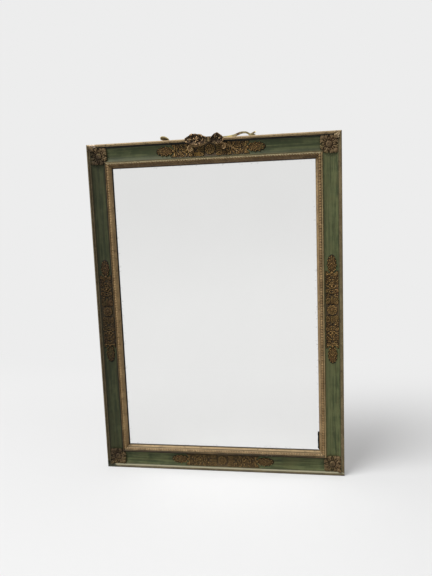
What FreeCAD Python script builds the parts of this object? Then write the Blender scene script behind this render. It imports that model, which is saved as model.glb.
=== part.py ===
import FreeCAD, Part
import math
import os

# A framed wall mirror: a mitred pine frame with a hollow green frieze, planted gilt mouldings,
# cast ornaments on every side and corner, and a carved ribbon bow on the top edge.
# X runs to the right, Y towards the back and Z up. The origin is the middle of the underside.

os.makedirs("parts", exist_ok=True)
V = FreeCAD.Vector

# Whole frame
frame_width = 810.0
frame_height = 1100.0
frame_depth = 42.0

# Face of each side, from its outer edge inwards
outer_moulding_width = 10.5
frieze_width = 46.5
sight_moulding_width = 22.0

# Levels, measured back from the foremost line of the outer moulding
seat_depth = 8.0
frieze_hollow = 6.5
glass_front_depth = 22.0
board_ledge_depth = 34.0

# Outer moulding
edge_bead_radius = 3.0
edge_fillet_drop = 1.0
edge_fillet_fall = 1.2

# Sight moulding
sight_bead_radius = 2.6
sight_bead_rise = 3.4
sight_quirk = 0.8
leaf_band_width = 8.0
leaf_band_swell = 1.4
leaf_band_fall = 3.4
sight_edge_radius = 1.2
sight_lip_width = 10.0

# Mitre keys
mitre_key_leg = 48.0
mitre_key_thickness = 2.5
mitre_key_depth = 27.0

# Mirror plate and what holds it
glass_thickness = 4.0
glass_play = 1.5
block_length = 32.0
block_leg = 7.5
block_end_share = 0.16
upright_block_count = 3
rail_block_count = 2

# Backboards and their nails
board_thickness = 6.0
board_ledge_width = 6.0
board_play = 1.0
board_gap = 0.8
board_count = 3
nail_thickness = 1.6
nail_length = 17.0
nail_head_width = 3.6
nail_head_height = 0.7
nail_end_share = 0.2

# Hangers
hanger_drop = 262.0
strap_width = 16.0
strap_length = 54.0
strap_thickness = 2.0
strap_eye_wall = 1.1
ring_wire_radius = 1.5
ring_fit_clearance = 0.05
ring_play = 0.3
ring_side_play = 0.4
ring_drop = 23.0
ring_corner_radius = 2.6
wire_side_count = 8
corner_step_count = 3
ring_bow_step_count = 8
screw_radius = 1.7
screw_length = 14.0
screw_head_radius = 3.5
screw_head_height = 1.7
screw_side_count = 10
screw_place_shares = (0.62, 0.86)

# Cast corner rosettes
rosette_inset = 37.0
rosette_radius = 27.0
petal_count = 8
rosette_petal_height = 3.4
rosette_side_count = 8
rosette_boss_radius = 12.5
rosette_boss_height = 8.6
rosette_eye_radius = 5.0
rosette_eye_rise = 2.0
corner_leaf_half_width = 5.5
corner_leaf_height = 1.6

# Cast frieze ornaments: a patera in the middle of each side and a spray on either hand
patera_radius = 16.0
patera_height = 6.5
patera_rim_share = 0.72
patera_eye_share = 0.34
patera_relief = 1.8
patera_dish = 0.5
patera_side_count = 12
bed_flat_count = 6
spray_offset = 17.0
spray_length = 160.0
spray_half_width = 19.0
casting_edge = 1.2
stem_half_width = 2.4
stem_height = 3.2
stem_point_count = 5
volute_radius = 7.0
volute_height = 4.2
volute_side_count = 8
tie_half_width = 3.2
tie_height = 4.4
spray_leaf_half_width = 4.0
spray_leaf_height = 3.6
palmette_height = 5.0

# Carved ribbon bow, its loops and tails measured from the knot
bow_centre_drop = 5.0
bow_level = 4.5
ribbon_thickness = 2.2
ribbon_width = 9.0
left_loop_reach = 66.0
right_loop_reach = 36.0
loop_rise = 25.0
knot_half_width = 11.0
knot_half_height = 9.5
knot_front = 10.0
knot_round = 3.0
left_tail_reach = 67.0
right_tail_reach = 50.0
tail_fall = 31.0
tail_width = 7.0
tail_level = 1.0
streamer_reach = 148.0
streamer_rise = 11.0
streamer_width = 8.0
streamer_setback = 5.0
stub_reach = 157.0
ribbon_seat_share = 0.48

# Cuts and buried roots run this far past what they cut
overrun = 2.0

# Share of a quad's size by which it may be out of flat and still be one face
flatness_share = 1e-6

# Worked out from the sizes above
face_width = outer_moulding_width + frieze_width + sight_moulding_width
frieze_middle = outer_moulding_width + frieze_width / 2
frieze_end = outer_moulding_width + frieze_width
rebate_wall = face_width - sight_lip_width
back_face_width = rebate_wall - board_ledge_width
front_y = -(seat_depth + frame_depth) / 2
back_y = front_y + frame_depth
cove_radius = ((frieze_width / 2) ** 2 + frieze_hollow ** 2) / (2 * frieze_hollow)
cove_centre_depth = seat_depth + frieze_hollow - cove_radius

# Turn of each side about Y, from the bottom side, and the middle of its outer edge
side_turns = {"bottom": 0, "right": -90, "top": 180, "left": 90}
side_middles = {
    "bottom": V(0, front_y, 0),
    "right": V(frame_width / 2, front_y, frame_height / 2),
    "top": V(0, front_y, frame_height),
    "left": V(-frame_width / 2, front_y, frame_height / 2),
}
side_lengths = {
    "bottom": frame_width,
    "right": frame_height,
    "top": frame_width,
    "left": frame_height,
}


def save(name, shape):
    """Write one node and print what it holds."""
    shape.exportStep(os.path.join("parts", name + ".step"))
    print(name, len(shape.Solids), "solids", round(shape.Volume), "mm3", shape.isValid())


def place_on_side(shape, side):
    """Move a shape from a side's own frame (X along it, Y back, Z inwards) to the mirror."""
    moved = shape.copy()
    turn = FreeCAD.Rotation(V(0, 1, 0), side_turns[side])
    moved.Placement = FreeCAD.Placement(side_middles[side], turn).multiply(moved.Placement)
    return moved


def outline_face(start, steps):
    """A face in the plane across a side: points are (inset, depth), arcs (through, end)."""
    def point(place):
        return V(0, place[1], place[0])

    edges = []
    here = start
    for step in steps:
        if isinstance(step[0], tuple):
            edges.append(Part.Arc(point(here), point(step[0]), point(step[1])).toShape())
            here = step[1]
        else:
            edges.append(Part.makeLine(point(here), point(step)))
            here = step
    edges.append(Part.makeLine(point(here), point(start)))
    return Part.Face(Part.Wire(edges))


def prism(points, direction):
    """A solid with flat sides: a polygon drawn out along a direction."""
    return Part.Face(Part.makePolygon(points + [points[0]])).extrude(direction)


def flat_faces(points):
    """One face through four points, or two triangles where they aren't in one plane."""
    a, b, c, d = points
    twist = (b - a).cross(c - a).dot(d - a)
    if abs(twist) < flatness_share * (b - a).Length * (c - a).Length * (d - a).Length:
        return [Part.Face(Part.makePolygon([a, b, c, d, a]))]
    return [Part.Face(Part.makePolygon([a, b, c, a])), Part.Face(Part.makePolygon([a, c, d, a]))]


def skin(rings):
    """A solid with flat faces through a row of rings, each a list of as many points."""
    faces = [Part.Face(Part.makePolygon(ring + [ring[0]])) for ring in (rings[0], rings[-1])]
    for one, other in zip(rings, rings[1:]):
        for index in range(len(one)):
            after = (index + 1) % len(one)
            faces += flat_faces([one[index], one[after], other[after], other[index]])
    solid = Part.Solid(Part.Shell(faces))
    if solid.Volume < 0:
        solid.reverse()
    return solid


def button(place, rings, sides):
    """A round boss with flat facets, through rings of (radius, depth) about one middle."""
    polygons = []
    for radius, depth in rings:
        points = []
        for index in range(sides):
            angle = 2 * math.pi * index / sides
            points.append(V(place[0] + radius * math.cos(angle), depth,
                            place[1] + radius * math.sin(angle)))
        polygons.append(points)
    return skin(polygons)


def mitred_length(face, length):
    """A moulding drawn along one side and cut to 45 degrees at both ends."""
    blank = face.copy()
    blank.translate(V(-length / 2, 0, 0))
    blank = blank.extrude(V(length, 0, 0))
    triangle = [V(-length / 2, -overrun, 0), V(length / 2, -overrun, 0), V(0, -overrun, length / 2)]
    return blank.common(prism(triangle, V(0, frame_depth + 2 * overrun, 0)))


def carcass_face():
    """Section of the pine: seat for the outer moulding, hollow frieze, seat for the sight
    moulding, then the two steps of the rebate at the back."""
    bottom_of_hollow = (frieze_middle, seat_depth + frieze_hollow)
    return outline_face((0, seat_depth), [
        (outer_moulding_width, seat_depth),
        (bottom_of_hollow, (frieze_end, seat_depth)),
        (rebate_wall, seat_depth),
        (rebate_wall, board_ledge_depth),
        (back_face_width, board_ledge_depth),
        (back_face_width, frame_depth),
        (0, frame_depth),
    ])


def outer_moulding_face():
    """Section of the outer moulding: a half round bead with a sloping fillet inside it."""
    bead_end = 2 * edge_bead_radius
    fillet = edge_bead_radius + edge_fillet_drop
    return outline_face((0, seat_depth), [
        (0, edge_bead_radius),
        ((edge_bead_radius, 0), (bead_end, edge_bead_radius)),
        (bead_end, fillet),
        (outer_moulding_width, fillet + edge_fillet_fall),
        (outer_moulding_width, seat_depth),
    ])


def sight_moulding_face():
    """Section of the sight moulding: a bead, a swelling band that is carved with leaves, and a
    bevel down to the glass. Its back is a lip that makes the front wall of the rebate."""
    bead_level = seat_depth - sight_bead_rise
    bead_end = frieze_end + 2 * sight_bead_radius
    band_start = bead_end + sight_quirk
    band_level = bead_level + sight_quirk
    band_end = band_start + leaf_band_width
    band_middle = (band_start + leaf_band_width / 2, band_level + leaf_band_fall / 2 - leaf_band_swell)
    lip_turn = glass_front_depth - sight_edge_radius
    return outline_face((frieze_end, seat_depth), [
        (frieze_end, bead_level),
        ((frieze_end + sight_bead_radius, bead_level - sight_bead_radius), (bead_end, bead_level)),
        (band_start, band_level),
        (band_middle, (band_end, band_level + leaf_band_fall)),
        (face_width - sight_edge_radius, lip_turn - sight_edge_radius),
        (face_width, lip_turn),
        (face_width, glass_front_depth),
        (rebate_wall, glass_front_depth),
        (rebate_wall, seat_depth),
    ])


def mitre_key(right, top):
    """A thin slip let into a saw cut across one outer corner."""
    across = 1 if right else -1
    upward = 1 if top else -1
    corner_x = across * frame_width / 2
    corner_z = frame_height if top else 0
    level = front_y + mitre_key_depth
    points = [
        V(corner_x, level, corner_z),
        V(corner_x - across * mitre_key_leg, level, corner_z),
        V(corner_x, level, corner_z - upward * mitre_key_leg),
    ]
    return prism(points, V(0, mitre_key_thickness, 0))


def mirror_plate():
    """The plate, standing in the rebate with a little play all round."""
    inset = rebate_wall + glass_play
    plate = Part.makeBox(frame_width - 2 * inset, glass_thickness, frame_height - 2 * inset)
    plate.translate(V(inset - frame_width / 2, front_y + glass_front_depth, inset))
    return plate


def glazing_blocks():
    """Three-sided blocks, glued in the rebate behind the plate."""
    back_of_glass = glass_front_depth + glass_thickness
    section = outline_face((rebate_wall, back_of_glass), [
        (rebate_wall + block_leg, back_of_glass),
        (rebate_wall, back_of_glass + block_leg),
    ])
    block = section.extrude(V(block_length, 0, 0))
    blocks = []
    for side, length in side_lengths.items():
        count = upright_block_count if length == frame_height else rail_block_count
        first = -length / 2 + face_width + length * block_end_share
        for index in range(count):
            place = first + index * (-2 * first) / (count - 1) - block_length / 2
            copy = block.copy()
            copy.translate(V(place, 0, 0))
            blocks.append(place_on_side(copy, side))
    return blocks


def square_bar(place, width, length):
    """A square bar along Y from a place."""
    half = width / 2
    corners = [place + V(x, 0, z) for x, z in ((-half, -half), (half, -half), (half, half), (-half, half))]
    return prism(corners, V(0, length, 0))


def board_sizes():
    """Inset of the boards from the outer edge, their width and their height."""
    inset = back_face_width + board_play
    height = (frame_height - 2 * inset - (board_count - 1) * board_gap) / board_count
    return inset, frame_width - 2 * inset, height


def backboard(index):
    """One thin board across the back, counted from the bottom."""
    inset, width, height = board_sizes()
    board = Part.makeBox(width, board_thickness, height)
    foot = inset + index * (height + board_gap)
    board.translate(V(inset - frame_width / 2, front_y + board_ledge_depth, foot))
    return board


def backboard_nails():
    """Two cut nails at each end of each board, driven through it into the ledge."""
    inset, width, height = board_sizes()
    face = front_y + board_ledge_depth + board_thickness
    ledge_middle = (back_face_width + rebate_wall) / 2
    nails = []
    for index in range(board_count):
        foot = inset + index * (height + board_gap)
        for share in (nail_end_share, 1 - nail_end_share):
            for x in (ledge_middle - frame_width / 2, frame_width / 2 - ledge_middle):
                place = V(x, face, foot + share * height)
                shank = square_bar(place, nail_thickness, -nail_length)
                head = square_bar(place, nail_head_width, nail_head_height)
                nails.append(shank.fuse(head))
    return nails


# Hangers: a folded strap on the back of each upright, with a ring that swings in its eye
pin_level = back_y + strap_thickness + ring_wire_radius + ring_play
pin_height = frame_height - hanger_drop
hanger_x = frame_width / 2 - back_face_width / 2
ring_half_width = strap_width / 2 + ring_side_play + ring_corner_radius


def hanger_strap(x):
    """A folded strap with a clipped lower end and an eye rolled at its top."""
    half = strap_width / 2
    foot = pin_height - strap_length
    outline = [(half, pin_height), (half, foot + half), (half / 2, foot),
               (-half / 2, foot), (-half, foot + half), (-half, pin_height)]
    plate = prism([V(x + across, back_y, height) for across, height in outline], V(0, strap_thickness, 0))
    eye_radius = ring_wire_radius + ring_fit_clearance + strap_eye_wall
    eye_start = V(x - half, pin_level, pin_height)
    eye = Part.makeCylinder(eye_radius, strap_width, eye_start, V(1, 0, 0))
    hole_start = V(x - half - overrun, pin_level, pin_height)
    hole = Part.makeCylinder(
        ring_wire_radius + ring_fit_clearance, strap_width + 2 * overrun, hole_start, V(1, 0, 0))
    return plate.fuse(eye).cut(hole).removeSplitter()


def hanger_screws(x):
    """Two screws with raised heads through one strap into the upright."""
    face = back_y + strap_thickness
    rings = [
        (screw_radius, face - screw_length),
        (screw_radius, face),
        (screw_head_radius, face),
        (screw_head_radius / 2, face + screw_head_height),
    ]
    heights = [pin_height - share * strap_length for share in screw_place_shares]
    return [button((x, height), rings, screw_side_count) for height in heights]


def ring_bend(middle, radius, first, last, steps):
    """Places and outward directions along one bend of the ring, by angle from the right."""
    stations = []
    for index in range(steps + 1):
        angle = math.radians(first + (last - first) * index / steps)
        outward = V(math.cos(angle), 0, math.sin(angle))
        stations.append((middle + outward * radius, outward))
    return stations


def hanger_ring(x):
    """A ring of wire: a round bar that turns in the eye, two bent corners and a half round
    bow. The wire's bends are drawn with flat facets round the same radius."""
    half = ring_half_width
    corner = ring_corner_radius
    bow_middle = V(x, pin_level, pin_height - ring_drop + half)
    right_corner = V(x + half - corner, pin_level, pin_height - corner)
    left_corner = V(x - half + corner, pin_level, pin_height - corner)
    stations = ring_bend(right_corner, corner, 90, 0, corner_step_count)
    stations += ring_bend(bow_middle, half, 0, -180, ring_bow_step_count)
    stations += ring_bend(left_corner, corner, 180, 90, corner_step_count)
    rings = []
    for place, outward in stations:
        ring = []
        for index in range(wire_side_count):
            angle = 2 * math.pi * index / wire_side_count
            offset = outward * math.cos(angle) + V(0, 1, 0) * math.sin(angle)
            ring.append(place + offset * ring_wire_radius)
        rings.append(ring)
    bar = Part.makeCylinder(ring_wire_radius, right_corner.x - left_corner.x,
                            V(left_corner.x, pin_level, pin_height), V(1, 0, 0))
    return skin(rings).fuse(bar)


# Ornaments, in a side's own frame: along the side, inwards from its edge, and back
root_depth = seat_depth + frieze_hollow + overrun


def cove_depth(inset):
    """Depth of the frieze's surface; past its edges it stays level with the seats."""
    off = inset - frieze_middle
    if abs(off) > frieze_width / 2:
        return seat_depth
    return cove_centre_depth + math.sqrt(cove_radius ** 2 - off ** 2)


def bed_face():
    """Section that an ornament's back is trimmed to: the frieze as flats, level with the seats
    on both sides of it."""
    points = [V(0, seat_depth, 0)]
    for index in range(bed_flat_count + 1):
        inset = outer_moulding_width + index * frieze_width / bed_flat_count
        points.append(V(0, cove_depth(inset), inset))
    points.append(V(0, seat_depth, face_width))
    points.append(V(0, root_depth + overrun, face_width))
    points.append(V(0, root_depth + overrun, 0))
    return Part.Face(Part.makePolygon(points + [points[0]]))


def directions(path):
    """Unit direction at each point of a path, from the point before it to the one after it."""
    befores = path[:1] + path[:-1]
    afters = path[1:] + path[-1:]
    return [V(b[0] - a[0], 0, b[1] - a[1]).normalize() for a, b in zip(befores, afters)]


def strand(path, half_widths, heights):
    """A ridged run of casting: a three-sided section across each point of its path, as wide as
    asked where it meets the frieze, with its root below the frieze's surface."""
    sections = []
    for here, run, half_width, height in zip(path, directions(path), half_widths, heights):
        level = cove_depth(here[1])
        spread = half_width * (root_depth - level + height) / height
        across = V(run.z, 0, -run.x) * spread
        ridge = V(here[0], level - height, here[1])
        foot = V(here[0], root_depth, here[1])
        sections.append([ridge, foot + across, foot - across])
    return skin(sections)


def fluted(middle, rim):
    """A fan of leaves in one piece: flutes run from its middle to the ups and downs of its rim."""
    feet = [V(place.x, root_depth, place.z) for place in rim]
    faces = [Part.Face(Part.makePolygon(feet + [feet[0]]))]
    for index, place in enumerate(rim):
        after = (index + 1) % len(rim)
        faces.append(Part.Face(Part.makePolygon([middle, place, rim[after], middle])))
        faces.append(Part.Face(Part.makePolygon([place, rim[after], feet[after], feet[index], place])))
    solid = Part.Solid(Part.Shell(faces))
    if solid.Volume < 0:
        solid.reverse()
    return solid


def patera():
    """The round boss in the middle of each side: a raised rim, a hollow and an eye."""
    top = cove_depth(frieze_middle) - patera_height
    low = top + patera_relief
    return button((0, frieze_middle), [
        (patera_radius, root_depth),
        (patera_radius, low),
        (patera_radius * (1 + patera_rim_share) / 2, top),
        (patera_radius * patera_rim_share, low),
        (patera_radius * patera_eye_share, low + patera_dish),
        (patera_radius * patera_eye_share / 2, top),
    ], patera_side_count)


# Along a leaf from its base: places, widths and heights
leaf_run_shares = (0, 0.45, 1)
leaf_width_shares = (0.4, 1, 0.14)
leaf_height_shares = (0.6, 1, 0.4)


def leaf(base, tip):
    """A ridged leaf of a spray, from its base to its tip."""
    path = []
    for share in leaf_run_shares:
        path.append((base[0] + share * (tip[0] - base[0]), base[1] + share * (tip[1] - base[1])))
    widths = [share * spray_leaf_half_width for share in leaf_width_shares]
    heights = [share * spray_leaf_height for share in leaf_height_shares]
    return strand(path, widths, heights)


# Places on a spray, as shares of its length and of its half width
bud_shares = ((0, 0), (0.16, 0))
volute_shares = (0.1, 0.5)
stem_start_share = 0.12
stem_run_share = 0.47
stem_sway_share = 0.6
tie_shares = (0.6, 0.8)
fork_leaf_shares = (((0.24, 0.3), (0.38, 0.98)), ((0.57, 0.3), (0.44, 0.98)))

# Half of the palmette's edge, as shares along and across the spray and of the leaves' height
palmette_edge_shares = (
    (0.94, 0.17, 0.4), (0.83, 0.15, 0.1), (0.91, 0.36, 0.8), (0.87, 0.52, 0.8), (0.76, 0.36, 0.1),
    (0.8, 0.74, 0.8), (0.73, 0.84, 0.8), (0.67, 0.48, 0.1), (0.6, 0.36, 0.6),
)


def on_spray(shares, hand=1):
    """A real place, along the side and inwards, from shares of a spray's size."""
    return (spray_offset + shares[0] * spray_length,
            frieze_middle + hand * shares[1] * spray_half_width)


def palmette():
    """Five leaves that fan out from the tie to the spray's tip."""
    def edge_point(along_share, across_share, height_share, hand):
        along, inset = on_spray((along_share, across_share), hand)
        height = casting_edge + height_share * (palmette_height - casting_edge) / 2
        return V(along, cove_depth(inset) - height, inset)

    upper = [edge_point(*shares, 1) for shares in palmette_edge_shares]
    lower = [edge_point(*shares, -1) for shares in palmette_edge_shares]
    along = on_spray(tie_shares)[0]
    middle = V(along, cove_depth(frieze_middle) - palmette_height, frieze_middle)
    return fluted(middle, [edge_point(1, 0, 1, 1)] + upper + lower[::-1])


def volute(hand):
    """The round curl at the foot of a stem."""
    place = on_spray(volute_shares, hand)
    front = cove_depth(place[1]) - volute_height
    rings = [(volute_radius, root_depth), (volute_radius, front + casting_edge), (volute_radius / 2, front)]
    return button(place, rings, volute_side_count)


def stem(hand):
    """One of the two stems: it swings from one edge of the spray to the other."""
    path = []
    for index in range(stem_point_count):
        share = index / (stem_point_count - 1)
        sway = stem_sway_share * math.cos(math.pi * share)
        path.append(on_spray((stem_start_share + share * stem_run_share, sway), hand))
    return strand(path, [stem_half_width] * stem_point_count, [stem_height] * stem_point_count)


def spray():
    """One arm of a side's ornament, from the patera outwards: a bud, two volutes, crossed stems
    with leaves in their forks, a tie and a fluted palmette."""
    tie_path = [on_spray(tie_shares, -1), on_spray(tie_shares, 0), on_spray(tie_shares, 1)]
    tie = strand(tie_path, [tie_half_width] * len(tie_path), [tie_height] * len(tie_path))
    pieces = [palmette(), tie, leaf(on_spray(bud_shares[0]), on_spray(bud_shares[1]))]
    for hand in (-1, 1):
        pieces += [volute(hand), stem(hand)]
        for base, tip in fork_leaf_shares:
            pieces.append(leaf(on_spray(base, hand), on_spray(tip, hand)))
    return pieces[0].fuse(pieces[1:])


# The corner leaf's edge, as shares of its length and of its half width
corner_leaf_start_share = 0.85
corner_leaf_edge_shares = (
    (0, -0.5), (0.4, -1), (0.75, -0.6), (1, 0), (0.75, 0.6), (0.4, 1), (0, 0.5),
)


def corner_leaf():
    """The leaf that runs from a rosette over the outer moulding to the mitre's tip."""
    start = rosette_inset - corner_leaf_start_share * rosette_radius * math.sqrt(1 / 2)
    tip = edge_bead_radius / 2
    rim = []
    for along_share, across_share in corner_leaf_edge_shares:
        along = start + along_share * (tip - start)
        across = across_share * corner_leaf_half_width
        rim.append(V(along - across, 0, along + across))
    ridge = (start + tip) / 2
    return fluted(V(ridge, -corner_leaf_height, ridge), rim)


# One rosette petal's edge, as shares of its angle, of the radius and of its height
petal_edge_shares = ((-0.5, 0.7, 0), (-0.22, 0.96, 0.7), (0.22, 0.96, 0.7))


def rosette():
    """A corner rosette: eight petals round a boss with an eye, and a leaf out to the corner.
    X and Z are measured inwards from the two outer edges."""
    middle = (rosette_inset, rosette_inset)
    boss_front = root_depth - overrun - rosette_boss_height
    boss = button(middle, [
        (rosette_boss_radius, root_depth),
        (rosette_boss_radius, boss_front + casting_edge),
        (rosette_eye_radius, boss_front),
        (rosette_eye_radius / 2, boss_front - rosette_eye_rise),
    ], rosette_side_count)
    rim = []
    for petal in range(petal_count):
        for turn_share, radius_share, height_share in petal_edge_shares:
            angle = 2 * math.pi * (petal + turn_share) / petal_count
            radius = radius_share * rosette_radius
            rim.append(V(rosette_inset + radius * math.cos(angle),
                         seat_depth - height_share * rosette_petal_height,
                         rosette_inset + radius * math.sin(angle)))
    petals = fluted(V(rosette_inset, seat_depth, rosette_inset), rim)
    return petals.fuse([boss, corner_leaf()])


# The carved bow, in the mirror's own axes: X from the middle, Z from the top edge
left_loop_shares = (
    (0.09, 0.08), (0.28, 0.42), (0.5, 0.58), (0.72, 0.52), (0.9, 0.25), (0.98, -0.04),
    (0.88, -0.28), (0.68, -0.42), (0.46, -0.5), (0.26, -0.4), (0.09, -0.16),
)
right_loop_shares = (
    (0.2, 0.1), (0.38, 0.48), (0.56, 0.78), (0.76, 0.62), (0.93, 0.26), (0.98, -0.12),
    (0.83, -0.42), (0.5, -0.5), (0.2, -0.22),
)
left_tail_shares = (
    (0.08, 0.2), (0.33, 0.42), (0.6, 0.53), (0.82, 0.52), (0.95, 0.62), (0.98, 0.82), (0.9, 1), (0.8, 0.92),
)
right_tail_shares = (
    (0.1, 0.2), (0.4, 0.42), (0.68, 0.46), (0.9, 0.56), (0.98, 0.78), (0.88, 1), (0.74, 0.92),
)
streamer_shares = (
    (0.24, 0), (0.4, 0), (0.49, 0), (0.57, 0.3), (0.65, 0.75), (0.73, 0.95), (0.8, 0.82), (0.86, 0),
)
upper_tip_shares = ((0.84, 0.1), (0.9, 0.45), (0.95, 0.85), (1, 1))
lower_tip_shares = ((0.84, 0.1), (0.9, 0.15), (0.98, 0))
stub_shares = ((0.83, 0), (0.89, 0.35), (0.95, 0.7), (1, 0.6))
face_on_roll = 52
edge_on_roll = 8


def ribbon(path, width, depth, roll):
    """A flat ribbon along a path of (across, up) points at one depth. A roll of zero lays its
    width from front to back, and one of 90 degrees turns its broad side to the front."""
    sections = []
    angle = math.radians(roll)
    for here, run in zip(path, directions(path)):
        normal = V(run.z, 0, -run.x)
        broad = (V(0, 1, 0) * math.cos(angle) + normal * math.sin(angle)) * (width / 2)
        thin = (normal * math.cos(angle) - V(0, 1, 0) * math.sin(angle)) * (ribbon_thickness / 2)
        middle = V(here[0], front_y + depth, frame_height + here[1])
        ring = [middle + broad + thin, middle + broad - thin,
                middle - broad - thin, middle - broad + thin]
        sections.append(ring)
    return skin(sections)


def bow_path(shares, reach, rise, level):
    """Real places from shares of a reach along the edge and of a rise from a level."""
    return [(across * reach, level + up * rise) for across, up in shares]


def bow_knot():
    """The knot: a block with rounded shoulders, its foot fitted to the moulding and frieze."""
    height = frame_height - bow_centre_drop
    rings = [
        (0, root_depth),
        (0, -knot_front + 2 * knot_round),
        (knot_round / 2, -knot_front + knot_round / 2),
        (knot_round, -knot_front),
    ]
    polygons = []
    for inset, depth in rings:
        wide = knot_half_width - inset
        tall = knot_half_height - inset
        cut = knot_round
        corners = [(wide, tall - cut), (wide - cut, tall), (cut - wide, tall), (-wide, tall - cut),
                   (-wide, cut - tall), (cut - wide, -tall), (wide - cut, -tall), (wide, cut - tall)]
        polygons.append([V(x, front_y + depth, height + z) for x, z in corners])
    return skin(polygons)


def streamer():
    """The long loose end on the right: it lies on the top edge, lifts clear of it in a wave,
    comes down again and ends in a forked tip."""
    rest = ribbon_seat_share * ribbon_thickness
    body = ribbon(bow_path(streamer_shares, streamer_reach, streamer_rise, rest),
                  streamer_width, streamer_setback, edge_on_roll)
    upper = ribbon(bow_path(upper_tip_shares, streamer_reach, streamer_rise, rest),
                   streamer_width, streamer_setback, edge_on_roll)
    lower = ribbon(bow_path(lower_tip_shares, streamer_reach, streamer_rise, rest),
                   streamer_width, streamer_setback, edge_on_roll)
    return body.fuse([upper, lower])


def build():
    keys = [mitre_key(right, top) for right in (False, True) for top in (False, True)]
    nails = backboard_nails()
    screws = hanger_screws(-hanger_x) + hanger_screws(hanger_x)

    names = {"bottom": "bottom_rail", "right": "right_stile", "top": "top_rail", "left": "left_stile"}
    carcass = {}
    outer = {}
    sight = {}
    for side, length in side_lengths.items():
        blank = place_on_side(mitred_length(carcass_face(), length), side)
        carcass[side] = blank.cut(keys + nails + screws)
        outer[side] = place_on_side(mitred_length(outer_moulding_face(), length), side)
        sight[side] = place_on_side(mitred_length(sight_moulding_face(), length), side)
        save(names[side], carcass[side])
        save("outer_moulding_" + side, outer[side])
        save("sight_moulding_" + side, sight[side])
    save("mitre_keys", Part.makeCompound(keys))

    beds = {side: mitred_length(bed_face(), length) for side, length in side_lengths.items()}
    middle_boss = patera().cut(beds["left"])
    arm = spray().cut(beds["left"])
    other_arm = arm.mirror(V(0, 0, 0), V(1, 0, 0))
    arm_names = {"bottom": ("right", "left"), "right": ("upper", "lower"),
                 "top": ("left", "right"), "left": ("lower", "upper")}
    for side in side_lengths:
        one, other = arm_names[side]
        save("patera_" + side, place_on_side(middle_boss, side))
        save("spray_" + side + "_" + one, place_on_side(arm, side))
        save("spray_" + side + "_" + other, place_on_side(other_arm, side))

    corner_pieces = [group[side] for group in (outer, sight) for side in ("bottom", "left")]
    corner_pieces += [place_on_side(beds[side], side) for side in ("bottom", "left")]
    corner = rosette()
    corner.translate(V(-frame_width / 2, front_y, 0))
    low_left = corner.cut(corner_pieces)
    low_right = low_left.mirror(V(0, 0, 0), V(1, 0, 0))
    save("rosette_bottom_left", low_left)
    save("rosette_bottom_right", low_right)
    middle_height = V(0, 0, frame_height / 2)
    save("rosette_top_left", low_left.mirror(middle_height, V(0, 0, 1)))
    save("rosette_top_right", low_right.mirror(middle_height, V(0, 0, 1)))

    seats = [carcass["top"], outer["top"], sight["top"]]
    knot = bow_knot().cut(seats)
    save("bow_knot", knot)
    left_path = bow_path(left_loop_shares, -left_loop_reach, loop_rise, -bow_centre_drop)
    right_path = bow_path(right_loop_shares, right_loop_reach, loop_rise, -bow_centre_drop)
    loops = {
        "left": ribbon(left_path, ribbon_width, -bow_level, face_on_roll),
        "right": ribbon(right_path, ribbon_width, -bow_level, -face_on_roll),
    }
    tails = {
        "left": ribbon(bow_path(left_tail_shares, -left_tail_reach, -tail_fall, -bow_centre_drop),
                       tail_width, tail_level, face_on_roll),
        "right": ribbon(bow_path(right_tail_shares, right_tail_reach, -tail_fall, -bow_centre_drop),
                        tail_width, tail_level, -face_on_roll),
    }
    fitted_loops = []
    for name, loop in loops.items():
        fitted = loop.cut(seats + [knot])
        fitted_loops.append(fitted)
        save("bow_loop_" + name, fitted)
    for name, tail in tails.items():
        save("bow_tail_" + name, tail.cut(seats + [knot] + fitted_loops))
    save("ribbon_streamer_right", streamer().cut(seats + [knot] + fitted_loops))
    stub_path = bow_path(stub_shares, -stub_reach, streamer_rise, ribbon_seat_share * ribbon_thickness)
    save("ribbon_stub_left", ribbon(stub_path, streamer_width, streamer_setback, edge_on_roll).cut(seats))

    save("mirror_glass", mirror_plate())
    save("glazing_blocks", Part.makeCompound(glazing_blocks()))
    for index, name in enumerate(("backboard_bottom", "backboard_middle", "backboard_top")):
        save(name, backboard(index).cut(nails))
    save("backboard_nails", Part.makeCompound(nails))

    straps = [hanger_strap(x).cut(screws) for x in (-hanger_x, hanger_x)]
    save("hanger_straps", Part.makeCompound(straps))
    save("hanger_ring_left", hanger_ring(-hanger_x))
    save("hanger_ring_right", hanger_ring(hanger_x))
    save("hanger_screws", Part.makeCompound(screws))


build()
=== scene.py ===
# %% [markdown]
# # A framed wall mirror with a ribbon bow
#
# The real object is an upright mirror in a deep wooden frame. Its hollow frieze is painted olive
# green, two gilt mouldings run round it, and cast ornaments sit on every side and corner. The
# construction model gives the frame's mouldings, so Blender keeps those and gives them their
# finish. It replaces only what needs a carver's or a smith's hand: the ornaments, the bow, the
# rings and the screws. The small leaves of the sight moulding are added.

# %% Load the frame
import math
from contextlib import contextmanager
import bpy
import numpy as np
from mathutils import Matrix, Vector


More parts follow.
